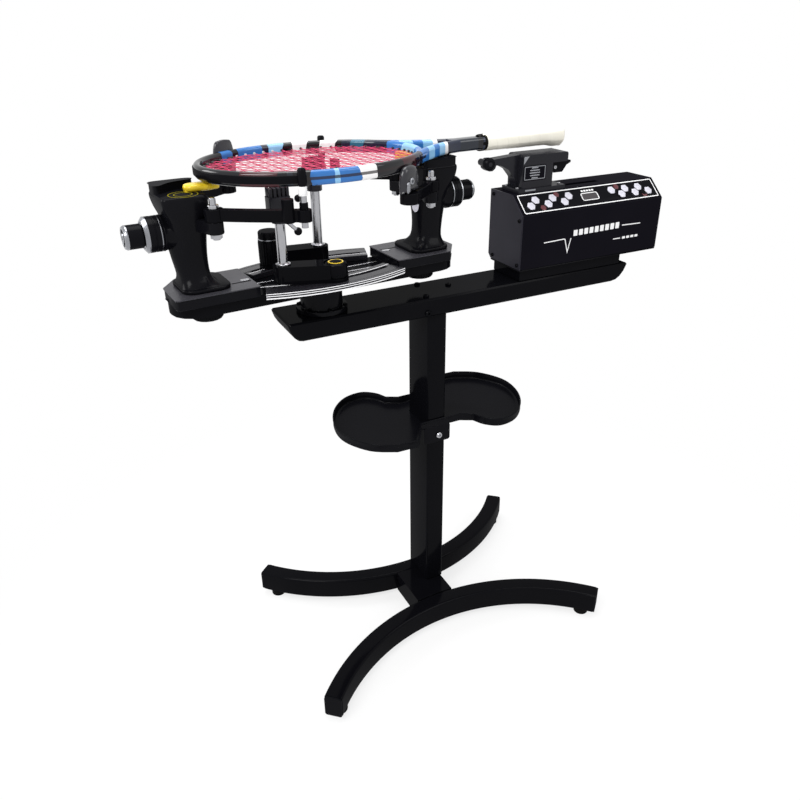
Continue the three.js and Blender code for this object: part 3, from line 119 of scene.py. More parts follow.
# %% [markdown]
# ## Writing nodes as sums
#
# A finish is a tree of nodes. Two small helpers keep the trees readable: one wraps a socket so that sums can
# be written as Python, and one makes any other node from its sockets and its settings. Both serve the
# geometry trees as well.

# %% Node helpers


class Link:
    """A node's output that can take part in a sum."""

    def __init__(self, make, socket):
        self.make, self.socket = make, socket

    def math(self, operation, *others):
        return self.make("ShaderNodeMath", dict(enumerate((self, *others))), operation=operation)

    def __add__(self, other):
        return self.math("ADD", other)

    def __sub__(self, other):
        return self.math("SUBTRACT", other)

    def __rsub__(self, other):
        return self.make("ShaderNodeMath", {0: other, 1: self}, operation="SUBTRACT")

    def __mul__(self, other):
        return self.math("MULTIPLY", other)

    def __truediv__(self, other):
        return self.math("DIVIDE", other)

    def __gt__(self, other):
        return self.math("GREATER_THAN", other)

    def __lt__(self, other):
        return self.math("LESS_THAN", other)

    __radd__, __rmul__ = __add__, __mul__

    def output(self, name):
        return Link(self.make, self.socket.node.outputs[name])


def node_maker(tree):
    """Makes nodes in a tree: settings first, then the sockets' values or links."""
    def make(kind, sockets=None, out=0, **settings):
        node = tree.nodes.new(kind)
        for key, value in settings.items():
            setattr(node, key, value)
        for key, value in (sockets or {}).items():
            if isinstance(value, Link):
                tree.links.new(value.socket, node.inputs[key])
            else:
                node.inputs[key].default_value = value
        return Link(make, node.outputs[out])
    return make


print("node helpers ready")

# %% [markdown]
# ## A finish
#
# Every finish starts from one shader. What is the same everywhere is set on the shader's own sockets, and
# only colour, roughness and bump take a pattern. The patterns lie on the object's own coordinates, so they
# stay on the piece when it moves.

# %% Finish helper
SOCKET_NAMES = {"specular": "Specular IOR Level", "base": "Base Color"}


def tint(code):
    """A colour written as on screen, in the numbers that the shader works with."""
    parts = [int(code[i:i + 2], 16) / 255 for i in (0, 2, 4)]
    return tuple(p / 12.92 if p <= 0.04045 else ((p + 0.055) / 1.055) ** 2.4 for p in parts)


def parts_of(vector):
    """The three numbers of a vector."""
    split = vector.make("ShaderNodeSeparateXYZ", {0: vector})
    return split, split.output("Y"), split.output("Z")


class Finish:
    """A material whose patterns lie on the object's own coordinates."""

    def __init__(self, name, **fixed):
        self.material = bpy.data.materials.new(name)
        self.material.use_nodes = True
        self.make = node_maker(self.material.node_tree)
        self.shader = self.material.node_tree.nodes["Principled BSDF"]
        self.place = self.make("ShaderNodeTexCoord", out="Object")
        self.set(**fixed)

    def set(self, **sockets):
        for key, value in sockets.items():
            socket = self.shader.inputs[SOCKET_NAMES.get(key, key.replace("_", " ").title())]
            if isinstance(value, Link):
                self.material.node_tree.links.new(value.socket, socket)
            else:
                socket.default_value = (*value, 1) if isinstance(value, tuple) else value

    def moved(self, centre=(0, 0, 0), turn=0.0, size=(1, 1, 1)):
        """The coordinates about a centre, turned about Z, then scaled."""
        about = self.make("ShaderNodeVectorMath", {0: self.place, 1: tuple(centre)}, operation="SUBTRACT")
        return self.make("ShaderNodeMapping", {"Vector": about, "Rotation": (0, 0, -turn), "Scale": size})

    def on_table(self):
        """The coordinates along, across and up from the turntable's axis, as three numbers."""
        return parts_of(self.moved((table_axis.x, table_axis.y, 0), table_turn))

    def noise(self, size, stretch=(1, 1, 1), detail=3.0):
        """Noise whose blots are about that size."""
        spread = self.moved(size=tuple(1 / (size * s) for s in stretch))
        return self.make("ShaderNodeTexNoise", {"Vector": spread, "Scale": 1.0, "Detail": detail})

    def mix(self, mask, low, high):
        """One colour where the mask is 0 and another where it is 1."""
        low, high = (end if isinstance(end, Link) else (*end, 1) for end in (low, high))
        return self.make("ShaderNodeMix", {0: mask, 6: low, 7: high}, out=2, data_type="RGBA")

    def bump(self, height, depth):
        """Gives the shader a bump, and gives back the finished material."""
        self.set(normal=self.make("ShaderNodeBump", {"Height": height, "Distance": depth}))
        return self.material


print("finish helper ready")

# %% [markdown]
# ## Paint, plastic, rubber and metal
#
# Nearly all of this machine is black, so its finishes differ in gloss and grain: a gloss paint with a faint
# orange peel on the stand, a satin paint over rough castings, a fine moulded grain on plastic, and straight
# brushing on the plates. Each takes a little dust and handling, because a plain black shows none.

# %% Plain finishes
DUST_SIZE, DUST_SHARE, SPECK_SIZE, SPECK_SHARE = 0.11, 0.35, 0.0011, 0.2
SCRATCH_SIZE, SCRATCH_DEPTH, CLOUD_SIZE = 0.0006, 0.00004, 0.06


def painted(name, code, rough, peel, depth, gloss=0.1, specular=0.0):
    """Paint under a clear gloss, with faint dust and an orange peel: its size in mm, its depth in microns."""
    made = Finish(name, specular=specular, coat_weight=gloss, coat_roughness=rough * 0.7)
    dust = made.noise(DUST_SIZE, detail=5.0)
    speck = made.noise(SPECK_SIZE, detail=1.0) > 0.72
    dusty = tuple(min(1, v * 1.5 + 0.005) for v in tint(code))
    made.set(base=made.mix(dust * DUST_SHARE + speck * SPECK_SHARE, tint(code), dusty),
             roughness=rough + (dust - 0.5) * 0.16)
    return made.bump(made.noise(peel / 1e3, detail=2.0), depth / 1e6)


def brushed(name, dark, light, rough, stretch, metallic, specular=0.5):
    """Metal with fine straight scratches along one axis."""
    made = Finish(name, metallic=metallic, specular=specular)
    lines = made.noise(SCRATCH_SIZE, stretch=stretch, detail=4.0)
    cloud = made.noise(CLOUD_SIZE, detail=2.0)
    made.set(base=made.mix(lines * 0.6 + cloud * 0.4, tint(dark), tint(light)),
             roughness=rough + (lines - 0.5) * 0.2)
    return made.bump(lines, SCRATCH_DEPTH)


GLOSS_BLACK = painted("gloss_black_paint", "060609", 0.16, 1.6, 20, 0.08)
CAST_BLACK = painted("satin_cast_black", "09090d", 0.28, 1.2, 50, 0.13)
PLASTIC_BLACK = painted("black_moulded_plastic", "08080c", 0.34, 0.5, 50)
CASE_BLACK = painted("case_black_powder", "0d0c12", 0.36, 0.6, 40, 0.03)
DARK_GREY = painted("dark_grey_satin", "18181d", 0.3, 0.8, 40, 0.35)
RUBBER = painted("black_rubber", "080808", 0.7, 1.2, 100)
HOOK_GREY = painted("grey_hook_casting", "232328", 0.22, 1.2, 60, 0.8)
# Flat white paint, not metal: painted highlights along the rails' edges.
RAIL_HIGHLIGHT = painted("polished_rail_line", "e9e9ec", 0.25, 3, 10, specular=0.5)
YELLOW = painted("yellow_support_plastic", "d3b524", 0.28, 2, 30, specular=0.3)
DIM_YELLOW = painted("worn_yellow_ring", "7d7414", 0.4, 2, 30)
BOARD_GREEN = painted("green_board", "1a5a34", 0.5, 4, 30)
WHITE_PRINT = painted("white_panel_print", "dededf", 0.45, 0.7, 10, specular=0.2)
KEY_WHITE = painted("white_key_film", "b9b8c2", 0.32, 0.9, 20, specular=0.5)
LAMP_RED = painted("dark_red_window", "4a0a16", 0.2, 0.9, 10, specular=0.5)
GLASS_DARK = painted("smoked_window", "2a2629", 0.12, 4, 10, specular=0.5)
GREY_PLATE = brushed("grey_brushed_plate", "2c2c31", "4b4a50", 0.34, (60, 1, 1), 0.25, 0.12)
END_PLATE = brushed("dark_brushed_end_plate", "1c1b21", "2b2a32", 0.36, (1, 1, 60), 0.1, 0.06)
RAIL_STEEL = brushed("dark_rail_steel", "1b1b1f", "333238", 0.22, (40, 1, 1), 0.5, 0.12)
STEEL = brushed("bright_turned_steel", "85868a", "c6c6ca", 0.2, (1, 1, 30), 1.0)
SILVER = brushed("silver_ring", "6f7075", "a9abb0", 0.24, (1, 1, 1), 1.0)
print("plain finishes:", len(bpy.data.materials))

# %% [markdown]
# ## Building pieces
#
# Meshes are built from rings of points: a loft joins rings into a skin, a sweep carries one outline along a
# path, and a turned piece spins an outline about an axis. Each piece is named, gets its finish, rides on its
# body and takes over from the plain solid that it refines.

# %% Outlines


def mm(*rows):
    """Rows of millimetres in metres."""
    return [tuple(value / 1000 for value in row) for row in rows]


def rounds(left, right, low, high, corner, steps=6):
    """A rounded rectangle's points between its edges."""
    reach_x, reach_y = (right - left) / 2 - corner, (high - low) / 2 - corner
    points = []
    for k, (sx, sy) in enumerate(((1, 1), (-1, 1), (-1, -1), (1, -1))):
        for angle in ((k + i / steps) * pi / 2 for i in range(steps + 1)):
            x, y = sx * reach_x + corner * cos(angle), sy * reach_y + corner * sin(angle)
            points.append(((left + right) / 2 + x, (low + high) / 2 + y))
    return points


def rounded(width, height, corner, steps=6):
    """A rounded rectangle's points about its middle."""
    return rounds(-width / 2, width / 2, -height / 2, height / 2, corner, steps)


def drawn_in(outline, distance):
    """An outline moved inwards, point by point."""
    moved = []
    for i, (x, y) in enumerate(outline):
        (ax, ay), (bx, by) = outline[i - 1], outline[(i + 1) % len(outline)]
        size = hypot(bx - ax, by - ay)
        moved.append((x - (by - ay) / size * distance, y + (bx - ax) / size * distance))
    return moved


def hull(a, a_radius, b, b_radius, steps=10):
    """The outline round two discs."""
    along = atan2(b[1] - a[1], b[0] - a[0])
    lean = acos((a_radius - b_radius) / dist(a, b))
    arcs = [(a, a_radius, along + lean, 2 * pi - 2 * lean), (b, b_radius, along - lean, 2 * lean)]
    return [(c[0] + r * cos(start + sweep * i / steps), c[1] + r * sin(start + sweep * i / steps))
            for c, r, start, sweep in arcs for i in range(steps + 1)]


def stroke(points, width):
    """The outline of a line of that width."""
    ways = [(Vector(b) - Vector(a)).normalized() for a, b in zip(points, points[1:])]
    left, right = [], []
    for (x, y), into, out in zip(points, ways[:1] + ways, ways + ways[-1:]):
        mean = (into + out).normalized()
        reach = width / 2 / max(0.3, mean.dot(into))
        left.append((x - mean.y * reach, y + mean.x * reach))
        right.append((x + mean.y * reach, y - mean.x * reach))
    return right + left[::-1]


def smooth(rows, steps, closed=False):
    """A smooth run through rows of numbers, by the Catmull-Rom rule."""
    count = len(rows)
    run = []
    for i in range(count if closed else count - 1):
        near = [rows[(i + k) % count if closed else min(max(i + k, 0), count - 1)] for k in (-1, 0, 1, 2)]
        for t in (s / steps for s in range(steps)):
            run.append(tuple(0.5 * (2 * b + (c - a) * t + (2 * a - 5 * b + 4 * c - d) * t * t
                                    + (3 * b - a - 3 * c + d) * t ** 3) for a, b, c, d in zip(*near)))
    return run if closed else run + [tuple(rows[-1])]


print("outline helpers ready")

# %% Meshes from outlines


def loft(rings, closed=False):
    """A skin through rings of equally many points. Its ends are capped, or joined where closed."""
    build = bmesh.new()
    rows = [[build.verts.new(point) for point in ring] for ring in rings]
    for low, high in zip(rows, rows[1:] + (rows[:1] if closed else [])):
        for i in range(len(low)):
            j = (i + 1) % len(low)
            build.faces.new((low[i], low[j], high[j], high[i]))
    if not closed:
        build.faces.new(rows[0][::-1])
        build.faces.new(rows[-1])
    bmesh.ops.recalc_face_normals(build, faces=build.faces)
    return kept(build)


def kept(build):
    """What was built, as a mesh."""
    mesh = bpy.data.meshes.new("built")
    build.to_mesh(mesh)
    build.free()
    return mesh


def slab(outline, low, high, soft=0.0, place=on_table, steps=3):
    """An outline given a height, with its rims rounded."""
    rings = []
    for edge, way in ((low, 1), (high, -1)):
        turns = [pi / 2 * i / steps for i in range(steps + 1)][::way] if soft else [pi / 2]
        for turn in turns:
            ring = drawn_in(outline, soft * (1 - sin(turn))) if soft else outline
            rings.append([place(x, y, edge + way * soft * (1 - cos(turn))) for x, y in ring])
    return loft(rings)


def border(outline, width, low, high, place):
    """A flat frame that runs round an outline."""
    inner = drawn_in(outline, width)
    loops = ((outline, low), (outline, high), (inner, high), (inner, low))
    return loft([[place(x, y, z) for x, y in loop] for loop, z in loops], closed=True)


def swept(path, outline, closed=False):
    """An outline of (across, up) points carried along a path of level places."""
    rings = []
    count = len(path)
    for i, place in enumerate(path):
        before = path[i - 1] if closed or i else place
        after = path[(i + 1) % count] if closed or i + 1 < count else place
        along = (after - before).normalized()
        beside = Vector((along.y, -along.x, 0)).normalized()
        shape = outline(i / (count - 1)) if callable(outline) else outline
        rings.append([place + beside * a + Vector((0, 0, b)) for a, b in shape])
    return loft(rings, closed)


def turned(profile, origin, axis=UP, steps=48, closed=False):
    """A profile of (radius, along) points turned about an axis."""
    spin = Vector(axis).normalized().to_track_quat("Z", "X").to_matrix()
    spokes = [2 * pi * i / steps for i in range(steps)]
    return loft([[Vector(origin) + spin @ Vector((radius * cos(a), radius * sin(a), height))
                  for a in spokes] for radius, height in profile], closed)


def joined(*meshes):
    """Several meshes as one."""
    build = bmesh.new()
    for mesh in meshes:
        build.from_mesh(mesh)
    return kept(build)


def worked(mesh, *tools):
    """A mesh after modifiers, each a kind and its settings, as a plain mesh again."""
    draft = put("draft", mesh)
    for kind, settings in tools:
        tool = draft.modifiers.new(kind, kind)
        for key, value in settings.items():
            if hasattr(tool, key):
                setattr(tool, key, value)
            else:
                tool[key] = value
    bpy.context.view_layer.update()
    result = bpy.data.meshes.new_from_object(draft.evaluated_get(bpy.context.evaluated_depsgraph_get()))
    bpy.data.objects.remove(draft)
    return result


def cut_out(mesh, *spaces):
    """A mesh with the spaces of other meshes cut out of it."""
    cutters = [put("cutter", space) for space in spaces]
    result = worked(mesh, *[("BOOLEAN", {"operation": "DIFFERENCE", "solver": "EXACT", "object": cutter})
                            for cutter in cutters])
    for cutter in cutters:
        bpy.data.objects.remove(cutter)
    return result


def add_piece(name, mesh, finish, body, slot, stands_for=(), angle=38):
    """A named piece that rides on a body, smooth but for its sharp edges."""
    mesh.name = name
    piece = put(name, mesh)
    mesh.materials.clear()
    mesh.materials.append(finish)
    if angle:
        mesh.shade_smooth()
        mesh.set_sharp_from_angle(angle=radians(angle))
    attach(piece, body)
    if stands_for:
        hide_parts(*stands_for)
    return piece


def dress(node, name, mesh, finish, angle=38):
    """A finer piece that takes over from one measured solid."""
    return add_piece(name, mesh, finish, bodies[node], slots[node], [node], angle)


print("mesh helpers ready")

# %% [markdown]
# ## Softened edges
#
# No real casting or plate has a knife edge, and it is the soft edge that catches the light on black paint.
# So the plain solids are copied, their loose triangles are merged back into flat faces, and a bevel rounds
# what is left sharp. The copy then stands for the solid.

# %% Softened copies
SHARP = radians(32)
SOFTENED = [
    (GLOSS_BLACK, 0.0015, "cross_tube column beam plinth"),
    (GLOSS_BLACK, 0.0012, "left_finger_arm right_finger_arm left_hook_arm right_hook_arm"),
    (GLOSS_BLACK, 0.0025, "turntable_bar"),
    (CAST_BLACK, 0.002, "pivot_housing"),
    (GLOSS_BLACK, 0.0015, "front_clamp_base rear_clamp_base"),
    (CASE_BLACK, 0.002, "control_case"),
    (END_PLATE, 0.001, "case_end_plate"),
    (DARK_GREY, 0.0009, "tension_head"),
    (DARK_GREY, 0.0006, "front_clamp_head rear_clamp_head"),
    (PLASTIC_BLACK, 0.001, "left_lock_nut right_lock_nut release_lever string_roller power_inlet power_switch"),
    (PLASTIC_BLACK, 0.0003, "keypad"),
    (STEEL, 0.0006, "front_clamp_lever rear_clamp_lever"),
    (RUBBER, 0.0015, " ".join(node for node in nodes if node.endswith("rubber_foot"))),
]


def softened(node, width):
    """A copy of a measured solid with its sharp edges rounded."""
    build = bmesh.new()
    build.from_mesh(nodes[node].data)
    bmesh.ops.remove_doubles(build, verts=build.verts, dist=1e-6)
    bmesh.ops.dissolve_limit(build, angle_limit=radians(1), verts=build.verts, edges=build.edges)
    mesh = kept(build)
    mesh.shade_smooth()
    mesh.set_sharp_from_angle(angle=SHARP)
    return worked(mesh, ("BEVEL", {"width": width, "segments": 2, "limit_method": "ANGLE",
                                   "angle_limit": SHARP, "harden_normals": True}))


for finish, width, members in SOFTENED:
    for node in members.split():
        dress(node, node + "_soft", softened(node, width), finish, angle=None)
for node, finish in (("drive_motor", DARK_GREY), ("drive_screw", STEEL), ("circuit_board", BOARD_GREEN),
                     ("display_window", GLASS_DARK)):
    nodes[node].material_slots[0].material = finish
print("softened", sum(len(members.split()) for _, _, members in SOFTENED), "pieces")

# %% [markdown]
# ## The curved feet
#
# Each foot is one square tube bent to an arc, with a plastic plug in each end. A sweep along a true arc keeps
# the long highlight unbroken.

# %% Feet
FOOT_RADIUS, FOOT_OFFSET, FOOT_HALF_ANGLE, FOOT_STEPS = 0.403, 0.0635, radians(48.7), 72
FOOT_WIDTH, FOOT_CORNER, PLUG_DEPTH, PLUG_INSET = 0.0345, 0.005, 0.004, 0.0015
foot_low, foot_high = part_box("front_foot")
foot_height = foot_high.z - foot_low.z


def foot_arc(side, margin, steps):
    """Places along a foot's middle line; the front foot has side -1."""
    half = FOOT_HALF_ANGLE - margin / FOOT_RADIUS
    centre = Vector(((foot_low.x + foot_high.x) / 2, side * (FOOT_OFFSET + FOOT_RADIUS),
                     (foot_low.z + foot_high.z) / 2))
    turns = [half * (2 * i / steps - 1) for i in range(steps + 1)]
    return [centre + Vector((FOOT_RADIUS * sin(t), -side * FOOT_RADIUS * cos(t), 0)) for t in turns]


for name, side in (("front_foot", -1), ("rear_foot", 1)):
    tube = swept(foot_arc(side, PLUG_DEPTH, FOOT_STEPS), rounded(FOOT_WIDTH, foot_height, FOOT_CORNER))
    dress(name, name + "_tube", tube, GLOSS_BLACK)
    whole = foot_arc(side, 0, 2 * FOOT_STEPS)
    plug = rounded(FOOT_WIDTH - PLUG_INSET, foot_height - PLUG_INSET, 0.0045)
    plugs = joined(*(swept(end, plug) for end in (whole[:3], whole[-3:])))
    add_piece(name + "_plugs", plugs, PLASTIC_BLACK, "base", "black_plastic")
print("two curved feet")

# %% [markdown]
# ## The racket frame
#
# A racket is one bent tube: an oval hoop, two throat arms and a shaft, with a bridge that closes the hoop.
# The hoop's section is taller than wide and has a shallow groove outside, where the strings turn. The same
# sweep makes all of it. Its paint comes in plain bands of colour, set by the angle round the hoop; one short
# light band in the near side's blue is a painted highlight.

# %% Racket paint
HOOP_LENGTH, HOOP_WIDTH, HOOP_BAND = 0.185, 0.138, 0.012
THROAT_START, SHAFT_END = 0.17, 0.3245
RACKET_LOW, RACKET_HIGH = (corner.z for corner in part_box("racket_frame"))
RACKET_Z, RACKET_HEIGHT = (RACKET_LOW + RACKET_HIGH) / 2, RACKET_HIGH - RACKET_LOW
PRINT_SLANT, STRIP_HALF, STRIP_COLOUR = 0.001, 0.0021, "1a0c10"
BAND_COLOURS = {"black": "0a0a10", "navy": "141c30", "teal": "1c6078", "blue": "2b69ad", "light": "85b6dc",
                "white": "eceaea", "maroon": "3a1018", "slate": "1b2029"}
# The light band from 0.722 to 0.728, inside the near side's blue, is a painted highlight, not paint.
HOOP_BANDS = [
    (0.0, "light"), (0.018, "blue"), (0.05, "navy"), (0.088, "teal"), (0.11, "navy"), (0.132, "black"),
    (0.138, "white"), (0.168, "black"), (0.197, "white"), (0.228, "black"), (0.25, "light"), (0.285, "navy"),
    (0.30, "blue"), (0.355, "black"), (0.37, "blue"), (0.392, "black"), (0.585, "maroon"), (0.635, "black"),
    (0.645, "slate"), (0.655, "black"), (0.682, "blue"), (0.722, "light"), (0.728, "blue"), (0.766, "black"),
    (0.769, "white"), (0.80, "black"), (0.862, "maroon"), (0.90, "navy"), (0.93, "blue"), (0.975, "light"),
]
SHAFT_BANDS = [(0.0, "light"), (0.20, "blue"), (0.30, "light"), (0.40, "white"), (0.45, "navy"),
               (0.66, "slate"), (0.90, "black"), (0.97, "navy")]


def turn_share(made):
    """How far round the hoop a place is, from the throat, and its places along, across and up."""
    x, y, z = made.on_table()
    turn = y.math("ARCTAN2", x) / (2 * pi)
    return turn + (turn < 0), x, y, z


def banded(made, at, bands):
    """Plain bands of colour, each from its own start to the next."""
    link = made.make("ShaderNodeValToRGB", {0: at})
    ramp = link.socket.node.color_ramp
    ramp.interpolation = "CONSTANT"
    for start, colour in bands[1:]:
        ramp.elements.new(start).color = (*tint(BAND_COLOURS[colour]), 1)
    ramp.elements[0].color = (*tint(BAND_COLOURS[bands[0][1]]), 1)
    ramp.elements.remove(ramp.elements[-1])
    return link


def racket_paint():
    """Gloss paint in bands: by the angle round the hoop, and by the distance along the throat and shaft."""
    made = Finish("racket_paint_bands", specular=0.0, coat_weight=0.8, coat_roughness=0.08)
    turn, x, y, z = turn_share(made)
    up = z - RACKET_Z
    lean = made.noise(0.02, detail=0.0) * 0.01 + up / (RACKET_HEIGHT / 2) * PRINT_SLANT
    hoop = banded(made, turn + lean, HOOP_BANDS)
    shaft = banded(made, (x - THROAT_START) / (SHAFT_END - THROAT_START), SHAFT_BANDS)
    printed = made.mix(x > THROAT_START + HOOP_BAND, hoop, shaft)
    a, b = x / HOOP_LENGTH, y / HOOP_WIDTH
    oval = a * a + b * b
    strip = (oval > 0.99) * (up.math("ABSOLUTE") < STRIP_HALF) * (x < THROAT_START)
    made.set(base=made.mix(strip * 0.85, printed, tint(STRIP_COLOUR)),
             roughness=0.16 + made.noise(0.03) * 0.12)
    return made.bump(made.noise(0.0015, detail=1.0), 0.00002)


RACKET_PAINT = racket_paint()
print("racket paint with", len(HOOP_BANDS) + len(SHAFT_BANDS), "bands")

# %% Racket frame
HOOP_STEPS, ARM_STEPS, SHAFT_STEPS, BUMPER_STEPS = 160, 40, 12, 90
THROAT_ANGLE = radians(38)
SHAFT_START, SHAFT_HALF, SHAFT_OVERLAP, GROOVE = 0.266, 0.014, 0.01, 0.0012


def hoop_place(angle, inset=0.0):
    """A place on the hoop's oval, moved inwards."""
    return on_table((HOOP_LENGTH - inset) * cos(angle), (HOOP_WIDTH - inset) * sin(angle), RACKET_Z)


def hoop_section(width, groove):
    """A tall rounded section with a groove on its outer side."""
    wide = RACKET_HEIGHT * 0.16
    return [(a - (groove * exp(-(b / wide) ** 2) if a > 0 else 0), b)
            for a, b in rounded(width, RACKET_HEIGHT, width * 0.46, 7)]


def bezier(p0, p1, p2, steps):
    """Places on a curve with one control place."""
    shares = [i / steps for i in range(steps + 1)]
    return [p0 * (1 - t) ** 2 + p1 * 2 * t * (1 - t) + p2 * t ** 2 for t in shares]


hoop_path = [hoop_place(2 * pi * i / HOOP_STEPS, HOOP_BAND / 2) for i in range(HOOP_STEPS)]
frame_parts = [swept(hoop_path, hoop_section(HOOP_BAND, GROOVE), closed=True)]
slope = HOOP_LENGTH * sin(THROAT_ANGLE) / (HOOP_WIDTH * cos(THROAT_ANGLE))
leave = Vector((HOOP_LENGTH * cos(THROAT_ANGLE), HOOP_WIDTH * sin(THROAT_ANGLE)))
bend_x = leave.x + (leave.y - 2 * SHAFT_HALF) * slope
inner = HOOP_BAND / 2
for side in (-1, 1):
    ends = [(leave.x - inner * 0.8, leave.y - inner * 0.6), (bend_x - inner, 2 * SHAFT_HALF - inner),
            (SHAFT_START + 0.004, SHAFT_HALF - inner)]
    arm = bezier(*(on_table(x, side * y, RACKET_Z) for x, y in ends), ARM_STEPS)
    frame_parts.append(swept(arm, hoop_section(HOOP_BAND + 0.001, 0)))
shaft_low, shaft_length = SHAFT_START - SHAFT_OVERLAP, SHAFT_END - SHAFT_START + SHAFT_OVERLAP
shaft = [on_table(shaft_low + shaft_length * i / SHAFT_STEPS, 0, RACKET_Z) for i in range(SHAFT_STEPS + 1)]
frame_parts.append(swept(shaft, rounded(2 * SHAFT_HALF, RACKET_HEIGHT, 0.006)))
dress("racket_frame", "racket_tube", joined(*frame_parts), RACKET_PAINT)
bumper = [hoop_place(pi * (0.62 + 0.76 * i / BUMPER_STEPS), -0.0003) for i in range(BUMPER_STEPS + 1)]
add_piece("bumper_strip", swept(bumper, rounded(0.0022, RACKET_HEIGHT * 0.52, 0.001, 3)), PLASTIC_BLACK,
          "racket", "black_plastic")
print("racket frame from", len(frame_parts), "sweeps")

# %% [markdown]
# ## The strings
#
# The strings weave: each one passes over and under those that cross it. That is a rule, so geometry nodes
# draw it. A line of points gives one straight curve to each string, every curve is stretched to the oval,
# and a wave lifts it over one crossing and dips it under the next. The cross strings use the same tree,
# turned by a quarter and with the wave upside down.

# %% Geometry tree helper


def geometry_tree(name, **inputs):
    """A new tree with inputs of each kind. Gives its node maker, its inputs as links, and what ends it."""
    tree = bpy.data.node_groups.new(name, "GeometryNodeTree")
    tree.interface.new_socket("Geometry", in_out="OUTPUT", socket_type="NodeSocketGeometry")
    keys = []
    for kind, names in {"Geometry": "Geometry", **inputs, "Material": "Finish"}.items():
        for key in names.split(", "):
            tree.interface.new_socket(key, in_out="INPUT", socket_type="NodeSocket" + kind)
            keys.append(key)
    make = node_maker(tree)
    group = tree.nodes.new("NodeGroupInput")

    def end(geometry):
        """Ends the tree: real geometry with its finish."""
        whole = make("GeometryNodeRealizeInstances", {0: geometry})
        dressed = make("GeometryNodeSetMaterial", {"Geometry": whole, "Material": given["Finish"]})
        tree.links.new(dressed.socket, tree.nodes.new("NodeGroupOutput").inputs[0])
        return tree

    given = {key: Link(make, group.outputs[key]) for key in keys}
    return make, given, end


def grown(tree, values, points=((0, 0, 0),)):
    """Runs a tree on a mesh of loose points and keeps what it makes as a plain mesh."""
    start = bpy.data.meshes.new("start")
    start.from_pydata([tuple(point) for point in points], [], [])
    settings = {"node_group": tree}
    for item in tree.interface.items_tree:
        if item.in_out == "INPUT" and item.name in values:
            settings[item.identifier] = values[item.name]
    return worked(start, ("NODES", settings))


print("geometry helpers ready")

# %% Weave
STRING_RADIUS, STRING_LIFT, STRING_STEPS, STRING_SIDES = 0.00065, 0.0006, 150, 6
MAINS, CROSSES = (16, 0.014), (19, 0.017)
INNER_LENGTH, INNER_WIDTH = HOOP_LENGTH - HOOP_BAND + 0.001, HOOP_WIDTH - HOOP_BAND + 0.001


def weave_tree():
    """Strings side by side in an oval, waving over and under their crossings."""
    make, given, end = geometry_tree(
        "string_weave", Int="Strings, Crossed strings", Vector="Place, Turn",
        Float="Pitch, Crossed pitch, Half length, Half width, Radius, Lift")
    middle = (given["Strings"] - 1) * 0.5
    first = make("ShaderNodeCombineXYZ", {"Y": middle * given["Pitch"] * -1.0})
    step = make("ShaderNodeCombineXYZ", {"Y": given["Pitch"]})
    line = make("GeometryNodeMeshLine", {"Count": given["Strings"], "Start Location": first, "Offset": step})
    straight = make("GeometryNodeCurvePrimitiveLine", {"Start": (-1, 0, 0), "End": (1, 0, 0)})
    fine = make("GeometryNodeResampleCurve", {"Curve": straight, "Count": STRING_STEPS})
    strings = make("GeometryNodeInstanceOnPoints", {"Points": line, "Instance": fine})
    strings = make("GeometryNodeRealizeInstances", {0: strings})
    x, y, _ = parts_of(make("GeometryNodeInputPosition"))
    share = y / given["Half width"]
    reach = x * given["Half length"] * (1 - share * share).math("SQRT")
    own = (y / given["Pitch"] + middle) * pi
    crossed = (reach / given["Crossed pitch"] + (given["Crossed strings"] - 1) * 0.5) * pi
    wave = own.math("COSINE") * crossed.math("COSINE") * given["Lift"]
    place = make("ShaderNodeCombineXYZ", {"X": reach, "Y": y, "Z": wave})
    woven = make("GeometryNodeSetPosition", {"Geometry": strings, "Position": place})
    circle = make("GeometryNodeCurvePrimitiveCircle", {"Resolution": STRING_SIDES, "Radius": given["Radius"]})
    tubes = make("GeometryNodeCurveToMesh", {"Curve": woven, "Profile Curve": circle, "Fill Caps": True})
    return end(make("GeometryNodeTransform", {"Geometry": tubes, "Translation": given["Place"],
                                              "Rotation": given["Turn"]}))


def string_finish():
    """Shiny crimson that is paler towards the tip."""
    made = Finish("crimson_string", specular=0.5)
    x, _, _ = made.on_table()
    fibre = made.noise(0.004, detail=2.0)
    made.set(base=made.mix(fibre * 0.6 + (x < -0.15) * 0.2, tint("c4154e"), tint("e04a7c")),
             roughness=0.3 + fibre * 0.15)
    return made.bump(made.noise(0.0008, stretch=(6, 6, 1)), 0.00003)


STRING_FINISH, weave = string_finish(), weave_tree()
layers = []
for (count, pitch), (others, other_pitch), length, width, lift, quarter in (
        (MAINS, CROSSES, INNER_LENGTH, INNER_WIDTH, STRING_LIFT, 0),
        (CROSSES, MAINS, INNER_WIDTH, INNER_LENGTH, -STRING_LIFT, pi / 2)):
    layers.append(grown(weave, {
        "Strings": count, "Pitch": pitch, "Crossed strings": others, "Crossed pitch": other_pitch,
        "Half length": length, "Half width": width, "Radius": STRING_RADIUS, "Lift": lift,
        "Place": on_table(0, 0, RACKET_Z), "Turn": (0, 0, table_turn + quarter), "Finish": STRING_FINISH}))
dress("string_bed", "woven_strings", joined(*layers), STRING_FINISH, 80)
print("woven strings with", sum(len(mesh.polygons) for mesh in layers), "faces")

# %% [markdown]
# ## The grip
#
# The handle is an eight-sided bar under a soft white tape that is wound on at a slant, each turn lapping the
# last. One sweep makes both: the outline is an octagon with soft corners, and a saw-tooth that climbs with
# the angle raises the edge of each turn.

# %% Grip
GRIP_START, GRIP_LENGTH, GRIP_STEPS, GRIP_SIDES = SHAFT_END + 0.0003, 0.1785, 240, 96
GRIP_RADII = [(0, 0.0138), (0.08, 0.0142), (0.53, 0.0155), (0.765, 0.0158), (0.93, 0.0196), (0.985, 0.0198),
              (1, 0.0185)]
TAPE_PITCH, TAPE_STEP = 0.024, 0.0005
EIGHTH = pi / 4


